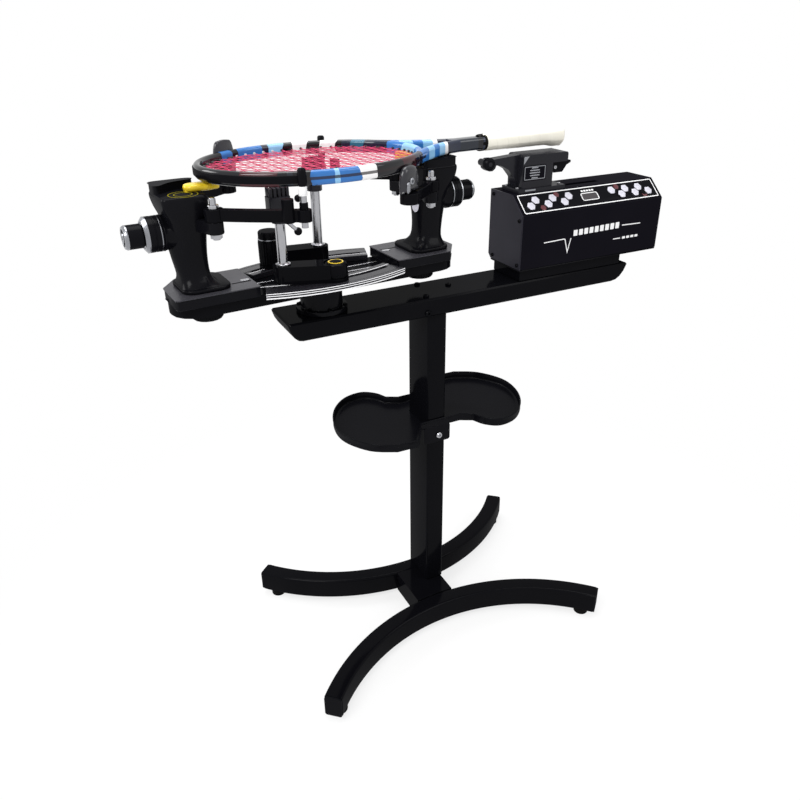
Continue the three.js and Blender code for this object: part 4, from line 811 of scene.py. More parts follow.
def between(pairs, at):
    """A value read between (share, value) pairs."""
    for (a, low), (b, high) in zip(pairs, pairs[1:]):
        if at <= b:
            t = (at - a) / (b - a)
            return low + (high - low) * t * t * (3 - 2 * t)
    return pairs[-1][1]


def grip_outline(share):
    """The taped octagon at a share of the grip's length."""
    base = between(GRIP_RADII, share)
    points = []
    for i in range(GRIP_SIDES):
        angle = 2 * pi * i / GRIP_SIDES
        flat = cos(EIGHTH / 2) / cos((angle + EIGHTH / 2) % EIGHTH - EIGHTH / 2)
        lap = (share * GRIP_LENGTH / TAPE_PITCH + i / GRIP_SIDES) % 1
        radius = base * (0.55 + 0.45 * flat) * 1.012 + TAPE_STEP * min(1, lap * 6) * (1 - lap * 0.8)
        points.append((radius * cos(angle) * 0.94, radius * sin(angle) * 1.02))
    return points


def tape_finish():
    """White synthetic tape with pores and a little grime here and there."""
    made = Finish("white_grip_tape", specular=0.3)
    pores = made.noise(0.0012, detail=3.0)
    stain = made.noise(0.03, detail=4.0)
    made.set(base=made.mix(stain * 0.6 + (pores < 0.36) * 0.25, tint("f2efe4"), tint("d9d4c4")),
             roughness=0.62 + pores * 0.2)
    return made.bump(pores, 0.00012)


grip_path = [on_table(GRIP_START + GRIP_LENGTH * i / GRIP_STEPS, 0, RACKET_Z) for i in range(GRIP_STEPS + 1)]
dress("racket_grip", "grip_tape", swept(grip_path, grip_outline), tape_finish(), 50)
collar = turned(mm((13.9, 0), (14.3, 2), (14.3, 10), (14, 12), (13.6, 12), (13.6, 0)),
                on_table(GRIP_START - 0.006, 0, RACKET_Z), outward, closed=True)
add_piece("grip_collar", collar, RUBBER, "racket", "black_rubber")
print("grip wound with tape every", TAPE_PITCH, "m")

# %% [markdown]
# ## Studs and grommets
#
# Screws, nuts, keys and grommets are all studs: a short post with a narrower crown and a recess. One tree
# puts a stud on each of some points, and another a plain rod. Every string passes through a small plastic
# barrel in the frame, so the first studs are these barrels, at places that follow from the strings' own rule.

# %% Studs and rods


def stud_tree():
    """A round or many-sided stud on each point, with a narrower crown and a recess in its top."""
    make, given, end = geometry_tree("studs", Int="Sides", Vector="Turn",
                                     Float="Radius, Height, Crown, Recess, Depth")

    def raised(mesh, face, rise, share):
        """Lifts a face, then scales it."""
        lifted = make("GeometryNodeExtrudeMesh", {"Mesh": mesh, "Selection": face, "Offset Scale": rise})
        top = lifted.output("Top")
        return make("GeometryNodeScaleElements", {"Geometry": lifted, "Selection": top, "Scale": share}), top

    stem = make("GeometryNodeMeshCylinder", {
        "Vertices": given["Sides"], "Radius": given["Radius"], "Depth": given["Height"]})
    crown, top = raised(stem, stem.output("Top"), given["Height"] * 0.25, given["Crown"])
    rim, top = raised(crown, top, 0.0, given["Recess"])
    well, _ = raised(rim, top, given["Depth"] * -1.0, 0.95)
    turn = make("FunctionNodeEulerToRotation", {0: given["Turn"]})
    return end(make("GeometryNodeInstanceOnPoints", {
        "Points": given["Geometry"], "Instance": well, "Rotation": turn}))


def rod_tree():
    """A plain rod on each point."""
    make, given, end = geometry_tree("rods", Int="Sides", Vector="Turn", Float="Radius, Length")
    rod = make("GeometryNodeMeshCylinder", {
        "Vertices": given["Sides"], "Radius": given["Radius"], "Depth": given["Length"]})
    turn = make("FunctionNodeEulerToRotation", {0: given["Turn"]})
    return end(make("GeometryNodeInstanceOnPoints", {
        "Points": given["Geometry"], "Instance": rod, "Rotation": turn}))


STUDS, RODS = stud_tree(), rod_tree()


def studs(places, facing, radius, height, finish, sides=16, crown=0.82, recess=0.55, depth=0.45):
    """Studs at those places that all face one way, half sunk."""
    turn = tuple(Vector(facing).to_track_quat("Z", "Y").to_euler())
    return grown(STUDS, {"Sides": sides, "Radius": radius, "Height": height, "Crown": crown, "Recess": recess,
                         "Depth": height * depth, "Turn": turn, "Finish": finish}, places)


def rods(places, radius, length, finish, sides=8, turn=(0, 0, 0)):
    """Rods with their middles at those places, upright unless turned."""
    return grown(RODS, {"Sides": sides, "Radius": radius, "Length": length, "Turn": turn, "Finish": finish},
                 places)


print("stud and rod trees ready")

# %% Grommets
GROMMET_RADIUS, GROMMET_LENGTH = 0.0021, 0.005
GROMMET_TURNS = (0.26, 0.36)


def string_ends(count, pitch, length, width):
    """Where one set of strings meets the frame, as (along, across) shares of its own axes."""
    rows = [(k - (count - 1) / 2) * pitch for k in range(count)]
    return [(side * length * sqrt(1 - (row / width) ** 2), row) for row in rows for side in (-1, 1)]


def grommet_finish():
    """Black plastic, but pale round the far left of the hoop."""
    made = Finish("grommet_plastic", specular=0.3, roughness=0.4)
    turn = turn_share(made)[0]
    pale = (turn > GROMMET_TURNS[0]) * (turn < GROMMET_TURNS[1])
    made.set(base=made.mix(pale * 0.9 + made.noise(0.001) * 0.08, tint("101014"), tint("d8d8da")))
    return made.material


grommets = grommet_finish()
mains = [on_table(x, y, RACKET_Z) for x, y in string_ends(*MAINS, INNER_LENGTH - 0.001, INNER_WIDTH)]
crosses = [on_table(y, x, RACKET_Z) for x, y in string_ends(*CROSSES, INNER_WIDTH - 0.001, INNER_LENGTH)]
barrels = [studs(places, facing, GROMMET_RADIUS, GROMMET_LENGTH, grommets, 8)
           for places, facing in ((mains, outward), (crosses, across))]
add_piece("grommets", joined(*barrels), grommets, "racket", "black_plastic")
print(len(mains) + len(crosses), "grommets")

# %% [markdown]
# ## The tool tray
#
# The tray is moulded in one piece: two lobes round the column, upright walls with a rolled lip, and a floor
# that meets the walls in a soft corner. Its outline is a smooth curve through a few places on one lobe,
# repeated half a turn round. Rings of that outline, drawn in by small steps, make the walls and floor.

# %% Tray
tray_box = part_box("tool_tray")
TRAY_LOW, TRAY_RIM = tray_box[1].z - 0.0175, tray_box[1].z
TRAY_MIDDLE = ((tray_box[0].x + tray_box[1].x) / 2, 0.056)
TRAY_HALF_LENGTH, TRAY_HALF_DEPTH, TRAY_BRIDGE = 0.2, 0.119, 0.0604
TRAY_LOBE = [(0.30, -0.61), (0.36, -0.82), (0.49, -0.97), (0.69, -0.90), (0.87, -0.60), (0.98, -0.17),
             (0.985, 0.27), (0.84, 0.71), (0.62, 0.94)]
TRAY_PROFILE = mm((10, 0), (4, 0), (1.5, 0.6), (0.4, 2), (0, 4), (0, 14.5), (-0.6, 15.2), (-0.6, 16.8),
                  (0.2, 17.5), (1.8, 17.5), (2.5, 16.8), (2.5, 6), (3.2, 4), (5, 2.9), (9, 2.5))
COLUMN_LEFT, COLUMN_RIGHT, COLUMN_FRONT, COLUMN_BACK = -0.0116, 0.028, -0.0019, 0.0787


def level(x, y, z):
    """A place in the model's own directions."""
    return Vector((x, y, z))


def on_plane(y, way):
    """Places on an upright plane across Y: along X, up, and out by the way it faces."""
    return lambda x, z, out: Vector((x, y + way * out, z))


lobe = [(a * TRAY_HALF_LENGTH, b * TRAY_HALF_DEPTH) for a, b in smooth(TRAY_LOBE, 5)]
half_loop = [*((x, -TRAY_BRIDGE) for x in (-0.047, -0.015, 0.015, 0.038)), *lobe,
             (0.40 * TRAY_HALF_LENGTH, 0.95 * TRAY_HALF_DEPTH)]
tray_loop = [(x * turn + TRAY_MIDDLE[0], y * turn + TRAY_MIDDLE[1]) for turn in (1, -1) for x, y in half_loop]
dish = loft([[(x, y, TRAY_LOW + up) for x, y in drawn_in(tray_loop, inset)] for inset, up in TRAY_PROFILE])
column_space = slab(rounds(COLUMN_LEFT, COLUMN_RIGHT, COLUMN_FRONT, COLUMN_BACK, 0.003), TRAY_LOW - 0.01,
                    TRAY_RIM + 0.01, place=level)
tab = slab(rounds(-0.0208, 0.0372, TRAY_LOW - 0.034, TRAY_LOW + 0.0025, 0.005), 0.0019, 0.0044, 0.0008,
           on_plane(0, -1))
dress("tool_tray", "tray_dish", joined(cut_out(dish, column_space), tab), PLASTIC_BLACK, 50)
print("tray outline with", len(tray_loop), "places")

# %% [markdown]
# ## The towers
#
# Each tower is an iron casting: a wide head, a waist like a funnel, and a foot. A loft through a few level
# outlines, smoothed between them, gives that one flowing skin. The slot and the bore that hold the racket
# support's screw are then cut out of it, so that the support can still travel. Two lugs carry the side arms
# on pins, and a small bright plate sits on the right tower's front.

# %% Towers
TOWER_LOW, TOWER_HIGH = (corner.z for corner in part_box("left_tower"))
KNOB_Z = sum(corner.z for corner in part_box("left_arm_knob")) / 2
SHELF_Z = TOWER_LOW + 0.1428
TOWER_LEVELS = mm((3, 169, 237.5, 40, 18), (9, 180, 235, 33.5, 17), (21, 186.8, 233.8, 26.2, 18),
                  (45, 186.8, 238.5, 23.2, 20), (70, 185, 242, 25.5, 22), (88.5, 183.8, 242, 30, 22),
                  (106, 183.2, 242.5, 34.8, 15), (122, 183, 247, 39, 8), (134, 183, 249.8, 39.8, 7),
                  (140.5, 183.2, 249.8, 39.8, 7), (142.8, 185, 248, 38, 6))
TOWER_LIP = mm((-247.8, 4.5), (-249.2, 10), (-249.6, 20), (-248.8, 32), (-243, 38.5), (-230, 39.6),
               (-210, 39.6), (-194, 39), (-186.5, 35), (-188, 28.5), (-208, 24.5), (-224, 18.5), (-234, 10),
               (-240, 4), (-244.5, 2.5))
BOSS_PROFILE = mm((4.6, 0), (27.5, 0), (27.5, 14), (25.5, 19), (25.5, 33.5), (26.5, 34.5), (26.5, 36),
                  (25.5, 36.7), (4.6, 36.7))
PLATE_HALF, PLATE_DROP, PLATE_Y, PLATE_Z = 0.0115, 0.015, 0.0065, 0.8625
ARM_TOP, PIVOT_X, PIVOT_Y, LUG_RADIUS = 0.91, 0.184, 0.057, 0.012
LUG_LOW, LUG_TOP, PIN_PROFILE = 0.8737, 0.8927, mm((5, 0), (5, 58.5), (3.5, 60.3))
tower_rows = smooth(TOWER_LEVELS, 3)


def on_pins(place, z):
    """The two arm pins' places on a tower, at a height."""
    return [place(-PIVOT_X, PIVOT_Y * s, z) for s in (-1, 1)]


for side, place, away in SIDES:
    rings = [[place(x, y, TOWER_LOW + up) for x, y in rounds(-outer, -inner, -half, half, corner, 5)]
             for up, inner, outer, half, corner in tower_rows]
    slot = slab(rounds(-0.2072, -0.18, -0.0073, 0.0073, 0.002), KNOB_Z - 0.0087, SHELF_Z + 0.02, place=place)
    bore = turned(mm((4.6, 0), (4.6, 80)), place(-0.178, 0, KNOB_Z), away, 24)
    skin = cut_out(loft(rings), slot, bore)
    lip = slab(smooth(TOWER_LIP, 3, True), SHELF_Z - 0.003, TOWER_HIGH, 0.0016, place)
    foot = slab(rounds(-0.238, -0.162, -0.042, 0.042, 0.02), TOWER_LOW, TOWER_LOW + 0.006, 0.0015, place)
    boss = turned(BOSS_PROFILE, place(-0.2133, 0, KNOB_Z), away, closed=True)
    lugs = [slab(hull((-PIVOT_X, PIVOT_Y * s), LUG_RADIUS, (-0.196, 0.0225 * s), LUG_RADIUS),
                 LUG_LOW, LUG_TOP, 0.002, place) for s in (-1, 1)]
    dress(side + "_tower", side + "_tower_casting", joined(skin, lip, foot, boss, *lugs), CAST_BLACK, 45)
    pins = [turned(PIN_PROFILE, spot, steps=24) for spot in on_pins(place, LUG_LOW - 0.0085)]
    nuts = studs(on_pins(place, LUG_LOW - 0.0031), UP, 0.0088, 0.0062, STEEL, sides=6, crown=0.94)
    caps = studs(on_pins(place, ARM_TOP + 0.0025), UP, 0.0085, 0.004, STEEL, crown=0.9, recess=0.62)
    add_piece(side + "_tower_pins", joined(*pins, nuts, caps), STEEL, "turntable", "bright_steel")
    rings = [turned([(r, 0), (r, 0.00025), (r + 0.0011, 0.00025), (r + 0.0011, 0)],
                    place(-0.2135, -0.0175, SHELF_Z - 0.0001), closed=True) for r in (0.0125, 0.0205)]
    add_piece(side + "_tower_rings", joined(*rings), DIM_YELLOW, "turntable", "yellow_plastic")
half_round = [(PLATE_HALF * cos(pi * i / 16), -PLATE_DROP * sin(pi * i / 16)) for i in range(17)]
badge = slab(half_round[-1:] + half_round[:-1], 0.1848, 0.1838,
             place=lambda y, z, x: half_turned(-x, PLATE_Y - y, PLATE_Z + z))
add_piece("right_tower_plate", badge, KEY_WHITE, "turntable", "bright_steel")
print("two towers from", len(tower_rows), "levels")

# %% [markdown]
# ## The tower knobs
#
# Two knobs turn on one axis: a wide barrel for the side arms, and a small one on a screw for the racket
# support. Both are turned plastic with bright metal rings, so each is an outline spun about the axis.

# %% Tower knobs
BARREL_START, SCREW_END = 0.2503, 0.187
BARREL = mm((4.3, 0), (25.4, 0), (26.2, 0.8), (26.2, 9.5), (25.6, 10), (25.6, 11.2), (26.2, 11.7), (26.2, 20),
            (4.3, 20))
BARREL_RINGS = [[(25, 2), (26.6, 2.2), (26.6, 3.4), (25, 3.6)],
                [(15, 20), (26.5, 20), (26.5, 21.8), (21.5, 25.7), (19.5, 25.7), (19, 24.5), (15, 24.5)]]
SMALL_KNOB = mm((4.2, 89.3), (16.5, 89.3), (17.6, 90.4), (17.6, 111.5), (15.8, 113.3), (10, 113.8),
                (4.2, 113.8))
KNOB_END_RING = mm((13, 111), (17.9, 111), (17.9, 113), (16, 116), (13, 116.3), (12.5, 114.5))
for side, place, away in SIDES:
    start, inner = place(-BARREL_START, 0, KNOB_Z), place(-SCREW_END, 0, KNOB_Z)
    knob, small = side + "_arm_knob", side + "_support_knob"
    dress(knob, knob + "_barrel", turned(BARREL, start, away, 64, True), PLASTIC_BLACK, 30)
    rings = [turned(mm(*profile), start, away, 64, True) for profile in BARREL_RINGS]
    add_piece(knob + "_rings", joined(*rings), SILVER, knob, "bright_steel", angle=25)
    rod = turned(mm((4.2, 0), (4.2, 89.5)), inner, away, 24)
    body = joined(rod, turned(SMALL_KNOB, inner, away, closed=True))
    dress(small, small + "_body", body, PLASTIC_BLACK, 30)
    ring = turned(KNOB_END_RING, inner, away, closed=True)
    screw = studs([inner + away * 0.114], away, 0.0072, 0.004, SILVER, crown=0.85, recess=0.5)
    add_piece(small + "_ring", joined(ring, screw), SILVER, small, "bright_steel", angle=25)
print("knobs with silver rings")

# %% [markdown]
# ## Racket supports and fingers
#
# The yellow supports carry the hoop from below and from inside, on a nose that is round towards the knob.
# The fingers are posts beside the hoop: a steel pin, a spacer on the arm, a sleeve where the finger meets
# the frame, white on the left and black on the right, and a black cap.

# %% Supports and fingers
SUPPORT_LOW, SUPPORT_BASE, SUPPORT_TOP = SHELF_Z + 0.0003, 0.9365, 0.9485
FINGER_PARTS = [
    ("spacer", [(4.5, 26), (6.2, 26.5), (6.2, 35), (5.2, 35.8), (4.5, 35.8)], "black_plastic", True),
    ("sleeve", [(4.5, 45), (6, 45.2), (6.2, 46), (6.2, 57), (5.5, 58), (4.5, 58)], "black_rubber", True),
    ("cap", [(5.9, 58.2), (6, 59), (6, 80), (4.5, 82.3), (1, 82.5)], "black_plastic", False),
]


def foot_of(node):
    """The lowest point on a node's upright axis."""
    a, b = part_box(node)
    return Vector(((a.x + b.x) / 2, (a.y + b.y) / 2, a.z))


for side, place, _ in SIDES:
    node, finger = side + "_racket_support", side + "_finger"
    base = slab(hull((-0.1945, 0), 0.0132, (-0.172, 0), 0.0141), SUPPORT_LOW, SUPPORT_BASE, 0.004, place)
    nose = slab(rounds(-0.1725, -0.1578, -0.0195, 0.0195, 0.006), SUPPORT_LOW + 0.002, SUPPORT_TOP, 0.003,
                place)
    stem = slab(rounds(-0.206, -0.194, -0.007, 0.007, 0.002), KNOB_Z - 0.0084, SUPPORT_LOW + 0.004,
                place=place)
    dress(node, node + "_moulding", joined(base, nose, stem), YELLOW, 45)
    pin = turned(mm((4.9, 0), (4.9, 56)), foot_of(finger), steps=24)
    add_piece(finger + "_pin", pin, STEEL, bodies[finger], "bright_steel", [finger])
    finishes = (GLOSS_BLACK, WHITE_PRINT if side == "left" else RUBBER, PLASTIC_BLACK)
    for (part, profile, slot, ring), finish in zip(FINGER_PARTS, finishes):
        add_piece(finger + "_" + part, turned(mm(*profile), foot_of(finger), steps=32, closed=ring), finish,
                  bodies[finger], slot)
print("supports and fingers")

# %% [markdown]
# ## The hooks
#
# A hook is a small grey casting that leans on the outside of the hoop. Seen from the front it is a broad
# rounded tongue, and its outer face is domed, so rings of one outline shrink as they leave the hoop.

# %% Hooks
HOOK_REACH, HOOK_GAP = 0.102, 0.0003
HOOK_LOW, HOOK_WIDE, HOOK_SHOULDER, HOOK_TIP = ARM_TOP + 0.0003, 0.0225, 0.0175, 0.008
HOOK_RINGS = [(0, 0.94), (0.0012, 1), (0.0045, 1), (0.0075, 0.93), (0.0095, 0.8), (0.0106, 0.55), (0.0109, 0.2)]
HOOK_FOOT = Vector((-HOOK_REACH, HOOP_WIDTH * sqrt(1 - (HOOK_REACH / HOOP_LENGTH) ** 2)))
HOOK_OUT = Vector((HOOK_FOOT.x / HOOP_LENGTH ** 2, HOOK_FOOT.y / HOOP_WIDTH ** 2)).normalized()
HOOK_ALONG = Vector((HOOK_OUT.y, -HOOK_OUT.x))


def on_hook(place):
    """Places on that end's hook: along the hoop, up, and out from it."""
    def spot(along, up, out):
        x, y = HOOK_FOOT + HOOK_OUT * (HOOK_GAP + out) + HOOK_ALONG * along
        return place(x, y, up)
    return spot


for (side, place, _), top in zip(SIDES, (0.9755, 0.9495)):
    node, spot, middle = side + "_hook", on_hook(place), (HOOK_LOW + top) / 2
    rising = [(0.019, HOOK_LOW), (0.021, HOOK_LOW + 0.004), (HOOK_WIDE, middle), (HOOK_SHOULDER, top - 0.005),
              (HOOK_TIP, top)]
    falling = [(-x, z) for x, z in rising[::-1]]
    tongue = smooth([falling[-2], falling[-1], *rising, *falling[:-2]], 4, True)
    rings = [[spot(x * size, middle + (z - middle) * size, out) for x, z in tongue]
             for out, size in HOOK_RINGS]
    dress(node, node + "_casting", loft(rings), HOOK_GREY, 60)
    facing = spot(0, 0, 1) - spot(0, 0, 0)
    bolt = studs([spot(0.004, middle - 0.002, 0.0105)], facing, 0.0055, 0.004, SILVER)
    stop = slab(hull((0.012, middle - 0.006), 0.004, (0.012, HOOK_LOW + 0.004), 0.004), 0.009, 0.0125, 0.001,
                spot)
    add_piece(node + "_bolt", joined(bolt, stop), SILVER, bodies[node], "bright_steel")
print("two hooks")

# %% [markdown]
# ## Curved rails and carriages
#
# The clamps run on curved rails with a slot between an outer and an inner band. Arcs of a grooved section,
# with thin white arcs laid on it as painted highlights, give the lines that a flat plate would not have.
# The carriages are black with a brushed grey top and a black strip that is painted shade for a groove, and
# polished strips on them and on the bar catch the light.

# %% Rails
RAIL_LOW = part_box("front_rail")[0].z
RAIL_OFFSET, RAIL_HALF_ANGLE, RAIL_STEPS = 0.25, radians(21), 56
OUTER_RADIUS, INNER_RADIUS, BLOCK_RADIUS = 0.3318, 0.3032, 0.321
OUTER_BAND = mm((-13.2, 0.6), (-12.6, 0), (12.4, 0), (13.2, 0.8), (13.2, 2.4), (12, 3), (12, 3.8), (13.2, 4.4),
                (13.2, 6), (12, 6.6), (12, 7.2), (13.2, 7.7), (13.2, 8.6), (12.4, 9.4), (6, 9.4), (5.6, 8.9),
                (5, 8.9), (4.6, 9.4), (-12.6, 9.4), (-13.2, 8.8))
INNER_BAND = mm((-6.2, 0.6), (-5.6, 0), (5.6, 0), (6.2, 0.6), (6.2, 8.8), (5.6, 9.4), (-5.6, 9.4), (-6.2, 8.8))
END_BLOCK = mm((-23.9, 0.4), (23.9, 0.4), (23.9, 9), (-23.9, 9))
# The thin white arcs listed below are painted highlights on the rails' edges.
RAIL_HIGHLIGHTS = [(OUTER_RADIUS, 12.8, 13.35, 0.3, 2.2), (OUTER_RADIUS, 12.8, 13.35, 4.6, 5.8),
              (OUTER_RADIUS, 12.8, 13.35, 7.9, 9), (INNER_RADIUS, 4.5, 6, 8.8, 9.6)]


def rail_arc(place, radius, outline, start=-1.0, end=1.0, steps=RAIL_STEPS):
    """An outline swept along a rail's arc, between shares of the arc's half angle."""
    angles = [RAIL_HALF_ANGLE * (start + (end - start) * i / steps) for i in range(steps + 1)]
    path = [place(radius * sin(a), RAIL_OFFSET - radius * cos(a), RAIL_LOW) for a in angles]
    return swept(path, outline)


for rail, (_, place, _) in zip(("front_rail", "rear_rail"), SIDES):
    bands = [rail_arc(place, OUTER_RADIUS, OUTER_BAND), rail_arc(place, INNER_RADIUS, INNER_BAND)]
    bands += [rail_arc(place, BLOCK_RADIUS, END_BLOCK, s * 0.905, s * 0.999, 4) for s in (-1, 1)]
    dress(rail, rail + "_bands", joined(*bands), RAIL_STEEL, 28)
    # Thin white arcs on the bands: painted highlights.
    lines = [rail_arc(place, radius, mm((left, low), (right, low), (right, high), (left, high)))
             for radius, left, right, low, high in RAIL_HIGHLIGHTS]
    add_piece(rail + "_lines", joined(*lines), RAIL_HIGHLIGHT, "turntable", "bright_steel")
print("two rails with", len(RAIL_HIGHLIGHTS), "bright lines each")

# %% Carriages and strips
CARRIAGE_OUTLINE = mm((-251.5, -51.8), (-253.8, -49), (-253.8, 18), (-229, 51.8), (-124.5, 51.8),
                      (-124.5, -51.8))
BAR_TOP, CARRIAGE_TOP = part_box("turntable_bar")[1].z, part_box("left_carriage")[1].z
CARRIAGE_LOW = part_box("left_carriage")[0].z
strips = [slab(rounds(-0.118, 0.118, y - 0.002, y + 0.002, 0.0018), BAR_TOP - 0.001, BAR_TOP + 0.0011, 0.0004)
          for y in (-0.012, 0.012)]
for side, place, _ in SIDES:
    node = side + "_carriage"
    dress(node, node + "_block", slab(CARRIAGE_OUTLINE, CARRIAGE_LOW, CARRIAGE_TOP - 0.0006, 0.001, place),
          CAST_BLACK, 40)
    top = slab(drawn_in(CARRIAGE_OUTLINE, 0.0012), CARRIAGE_TOP - 0.0016, CARRIAGE_TOP, 0.0004, place)
    add_piece(node + "_top", top, GREY_PLATE, "turntable", "grey_plate")
    # A black strip laid on the grey top: painted shade standing for the dark inside of a groove.
    groove = slab(rounds(-0.1585, -0.127, -0.0205, -0.0175, 0.001), CARRIAGE_TOP - 0.001,
                  CARRIAGE_TOP + 0.0002, place=place)
    add_piece(node + "_groove", groove, RUBBER, "turntable", "black_rubber")
    strips.append(slab(rounds(-0.142, -0.127, -0.0155, -0.0075, 0.003), CARRIAGE_TOP - 0.001,
                       CARRIAGE_TOP + 0.0008, 0.0003, place))
add_piece("polished_strips", joined(*strips), STEEL, "turntable", "bright_steel")
print("two carriages and", len(strips), "strips")

# %% [markdown]
# ## Ribs
#
# The lock nuts and the clamps' locks have ribs for the fingers. Each rib is a thin rod, half sunk in the
# knob, so the rod tree makes them all from places round a circle.

# %% Ribs
RIB_RADIUS = 0.0011


def add_ribs(node, reach, low, high, count):
    """Ribs round a node's upright axis, between two heights."""
    foot = foot_of(node)
    places = [(foot.x + reach * cos(a), foot.y + reach * sin(a), (low + high) / 2)
              for a in (2 * pi * i / count for i in range(count))]
    ribs = rods(places, RIB_RADIUS, high - low, PLASTIC_BLACK)
    add_piece(node + "_ribs", ribs, PLASTIC_BLACK, node, slots[node])


for side, _, _ in SIDES:
    nut = side + "_lock_nut"
    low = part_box(nut)[0].z
    add_ribs(nut, 0.0236, low + 0.003, low + 0.014, 30)
print("ribbed lock nuts")

# %% [markdown]
# ## The string clamps
#
# A clamp has a lock at its rail, a bright post, and a head with jaws. The lock is a turned knob: the front
# one is low with a domed top and a yellow ring, the rear one tall with a cap over a bright line. Their
# outlines are given in millimetres, with the upper heights measured down from the top.

# %% String clamps
LOCK_STEM = [(4.2, 0), (4.2, 12.9)]
LOCKS = {
    "front": ([(17.6, 12.9), (18.6, 13.9)],
              [(18.6, 5.5), (17.2, 2.8), (14.6, 1.2), (10, 0.4), (4, 0)],
              "_ring", [(10.2, 1.2), (10.2, 0), (12.4, 0.2), (12.4, 2)], YELLOW, "yellow_plastic"),
    "rear": ([(18.2, 12.9), (19, 13.9)],
             [(19, 15), (18.4, 14.2), (17.6, 14.2), (17.6, 12), (18.2, 11.8), (18.2, 2.5), (16.5, 0.4),
              (3, 0)],
             "_line", [(17, 14), (18.8, 14), (18.8, 12.4), (17, 12.4)], SILVER, "bright_steel"),
}
POST_FOOT = [(11.9, 0), (11.9, 15.8), (11.2, 16.5), (9, 17.2), (7.9, 18.5)]
BALL_RADIUS, BALL_STEPS, BALL_REACH = 0.0062, 16, 0.011
for side, (skirt, crown, mark, band, finish, slot) in LOCKS.items():
    node, post, lever = (side + "_clamp_" + part for part in ("lock", "post", "lever"))
    low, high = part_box(node)
    tall = (high.z - low.z) * 1000
    band = turned(mm(*((r, tall - down) for r, down in band)), foot_of(node), closed=True)
    add_piece(node + mark, band, finish, node, slot)
    profile = [*LOCK_STEM, *skirt, *((r, tall - down) for r, down in crown)]
    dress(node, node + "_knob", turned(mm(*profile), foot_of(node)), GLOSS_BLACK, 30)
    add_ribs(node, 0.0184, low.z + 0.016, high.z - 0.018, 28)
    tall = (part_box(post)[1].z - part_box(post)[0].z) * 1000
    dress(post, post + "_rod", turned(mm(*POST_FOOT, (7.9, tall - 1), (7, tall)), foot_of(post)), STEEL, 30)
    ends = [v.co for v in nodes[lever].data.vertices if v.co.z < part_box(lever)[0].z + BALL_REACH]
    arc = [(BALL_RADIUS * sin(a) + 0.00005, -BALL_RADIUS * cos(a))
           for a in (pi * i / BALL_STEPS for i in range(BALL_STEPS + 1))]
    add_piece(lever + "_ball", turned(arc, sum(ends, Vector()) / len(ends), steps=32), PLASTIC_BLACK, lever,
              "black_plastic")
print("clamps dressed")

# %% [markdown]
# ## The control unit
#
# The front and the sloping panel are printed in white: a border, a window frame, a pulse line and plain
# marks. The print is made as very thin raised shapes, which keep their sharp edges at any distance. The
# keys are six-sided caps in two zigzag rows with dark red lights between them, made by the stud tree.

# %% Printed front
CASE_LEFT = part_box("case_end_plate")[0].x
CASE_FRONT, CASE_BACK = (corner.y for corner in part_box("control_case"))
PRINT_WIDTH, PRINT_HEIGHT, PRINT_ROOT = 0.0019, 0.0002, 0.0005
PULSE = [(0.2235, 0.7753), (0.269, 0.7767), (0.2715, 0.7755), (0.279, 0.751), (0.2853, 0.7765)]
RULES = [[(0.407, 0.7857), (0.4527, 0.7845)], [(0.3886, 0.7609), (0.4061, 0.7606)]]
SCALE_BLOCKS, SCALE_PITCH, SCALE_RISE = 9, 0.0125, (0.0002, 0.0003)


def mark_row(count, left, pitch, width, low, high, corner=0.0008, rise=(0, 0)):
    """Outlines of rounded marks side by side, whose lower and upper edges may rise."""
    return [rounds(left + i * pitch, left + i * pitch + width, low + i * rise[0], high + i * rise[1], corner, 3)
            for i in range(count)]


outlines = [stroke(points, PRINT_WIDTH) for points in [PULSE, *RULES]]
outlines += mark_row(SCALE_BLOCKS, 0.2905, SCALE_PITCH, SCALE_PITCH * 0.72, 0.7795, 0.7905, 0.0012, SCALE_RISE)
outlines += mark_row(4, 0.411, 0.0105, 0.0075, 0.7585, 0.763)
prints = [slab(outline, -PRINT_ROOT, PRINT_HEIGHT, place=on_plane(CASE_FRONT, -1)) for outline in outlines]
add_piece("front_print", joined(*prints), WHITE_PRINT, "base", "white_wrap")
print("front with", len(prints), "printed shapes")

# %% Panel and keys
PANEL_LOW, PANEL_RUN, PANEL_RISE, PANEL_FACE = 0.829, 0.036, 0.032, 0.0015
PANEL_LENGTH = hypot(PANEL_RUN, PANEL_RISE)
KEY_OFFSET, KEY_RADIUS, LIGHT_OFFSET, LIGHT_RADIUS, WINDOW_X = 0.0056, 0.0086, 0.0122, 0.0062, 0.163
KEY_GROUPS = [(0.027, -1, (0, 0.0143, 0.038, 0.0523, 0.0747, 0.089), (0.024, 0.064)),
              (0.217, 1, (0, 0.02, 0.0328, 0.0528, 0.0655, 0.0855), (0.015, 0.0735))]
panel_out = Vector((0, -PANEL_RISE, PANEL_RUN)) / PANEL_LENGTH
panel_up = Vector((0, PANEL_RUN, PANEL_RISE)) / PANEL_LENGTH


def on_panel(x, up, out):
    """A place on the sloping panel, with up measured from its middle."""
    foot = Vector((CASE_LEFT + x, CASE_FRONT, PANEL_LOW)) + panel_up * (up + PANEL_LENGTH / 2)
    return foot + panel_out * (PANEL_FACE + out)


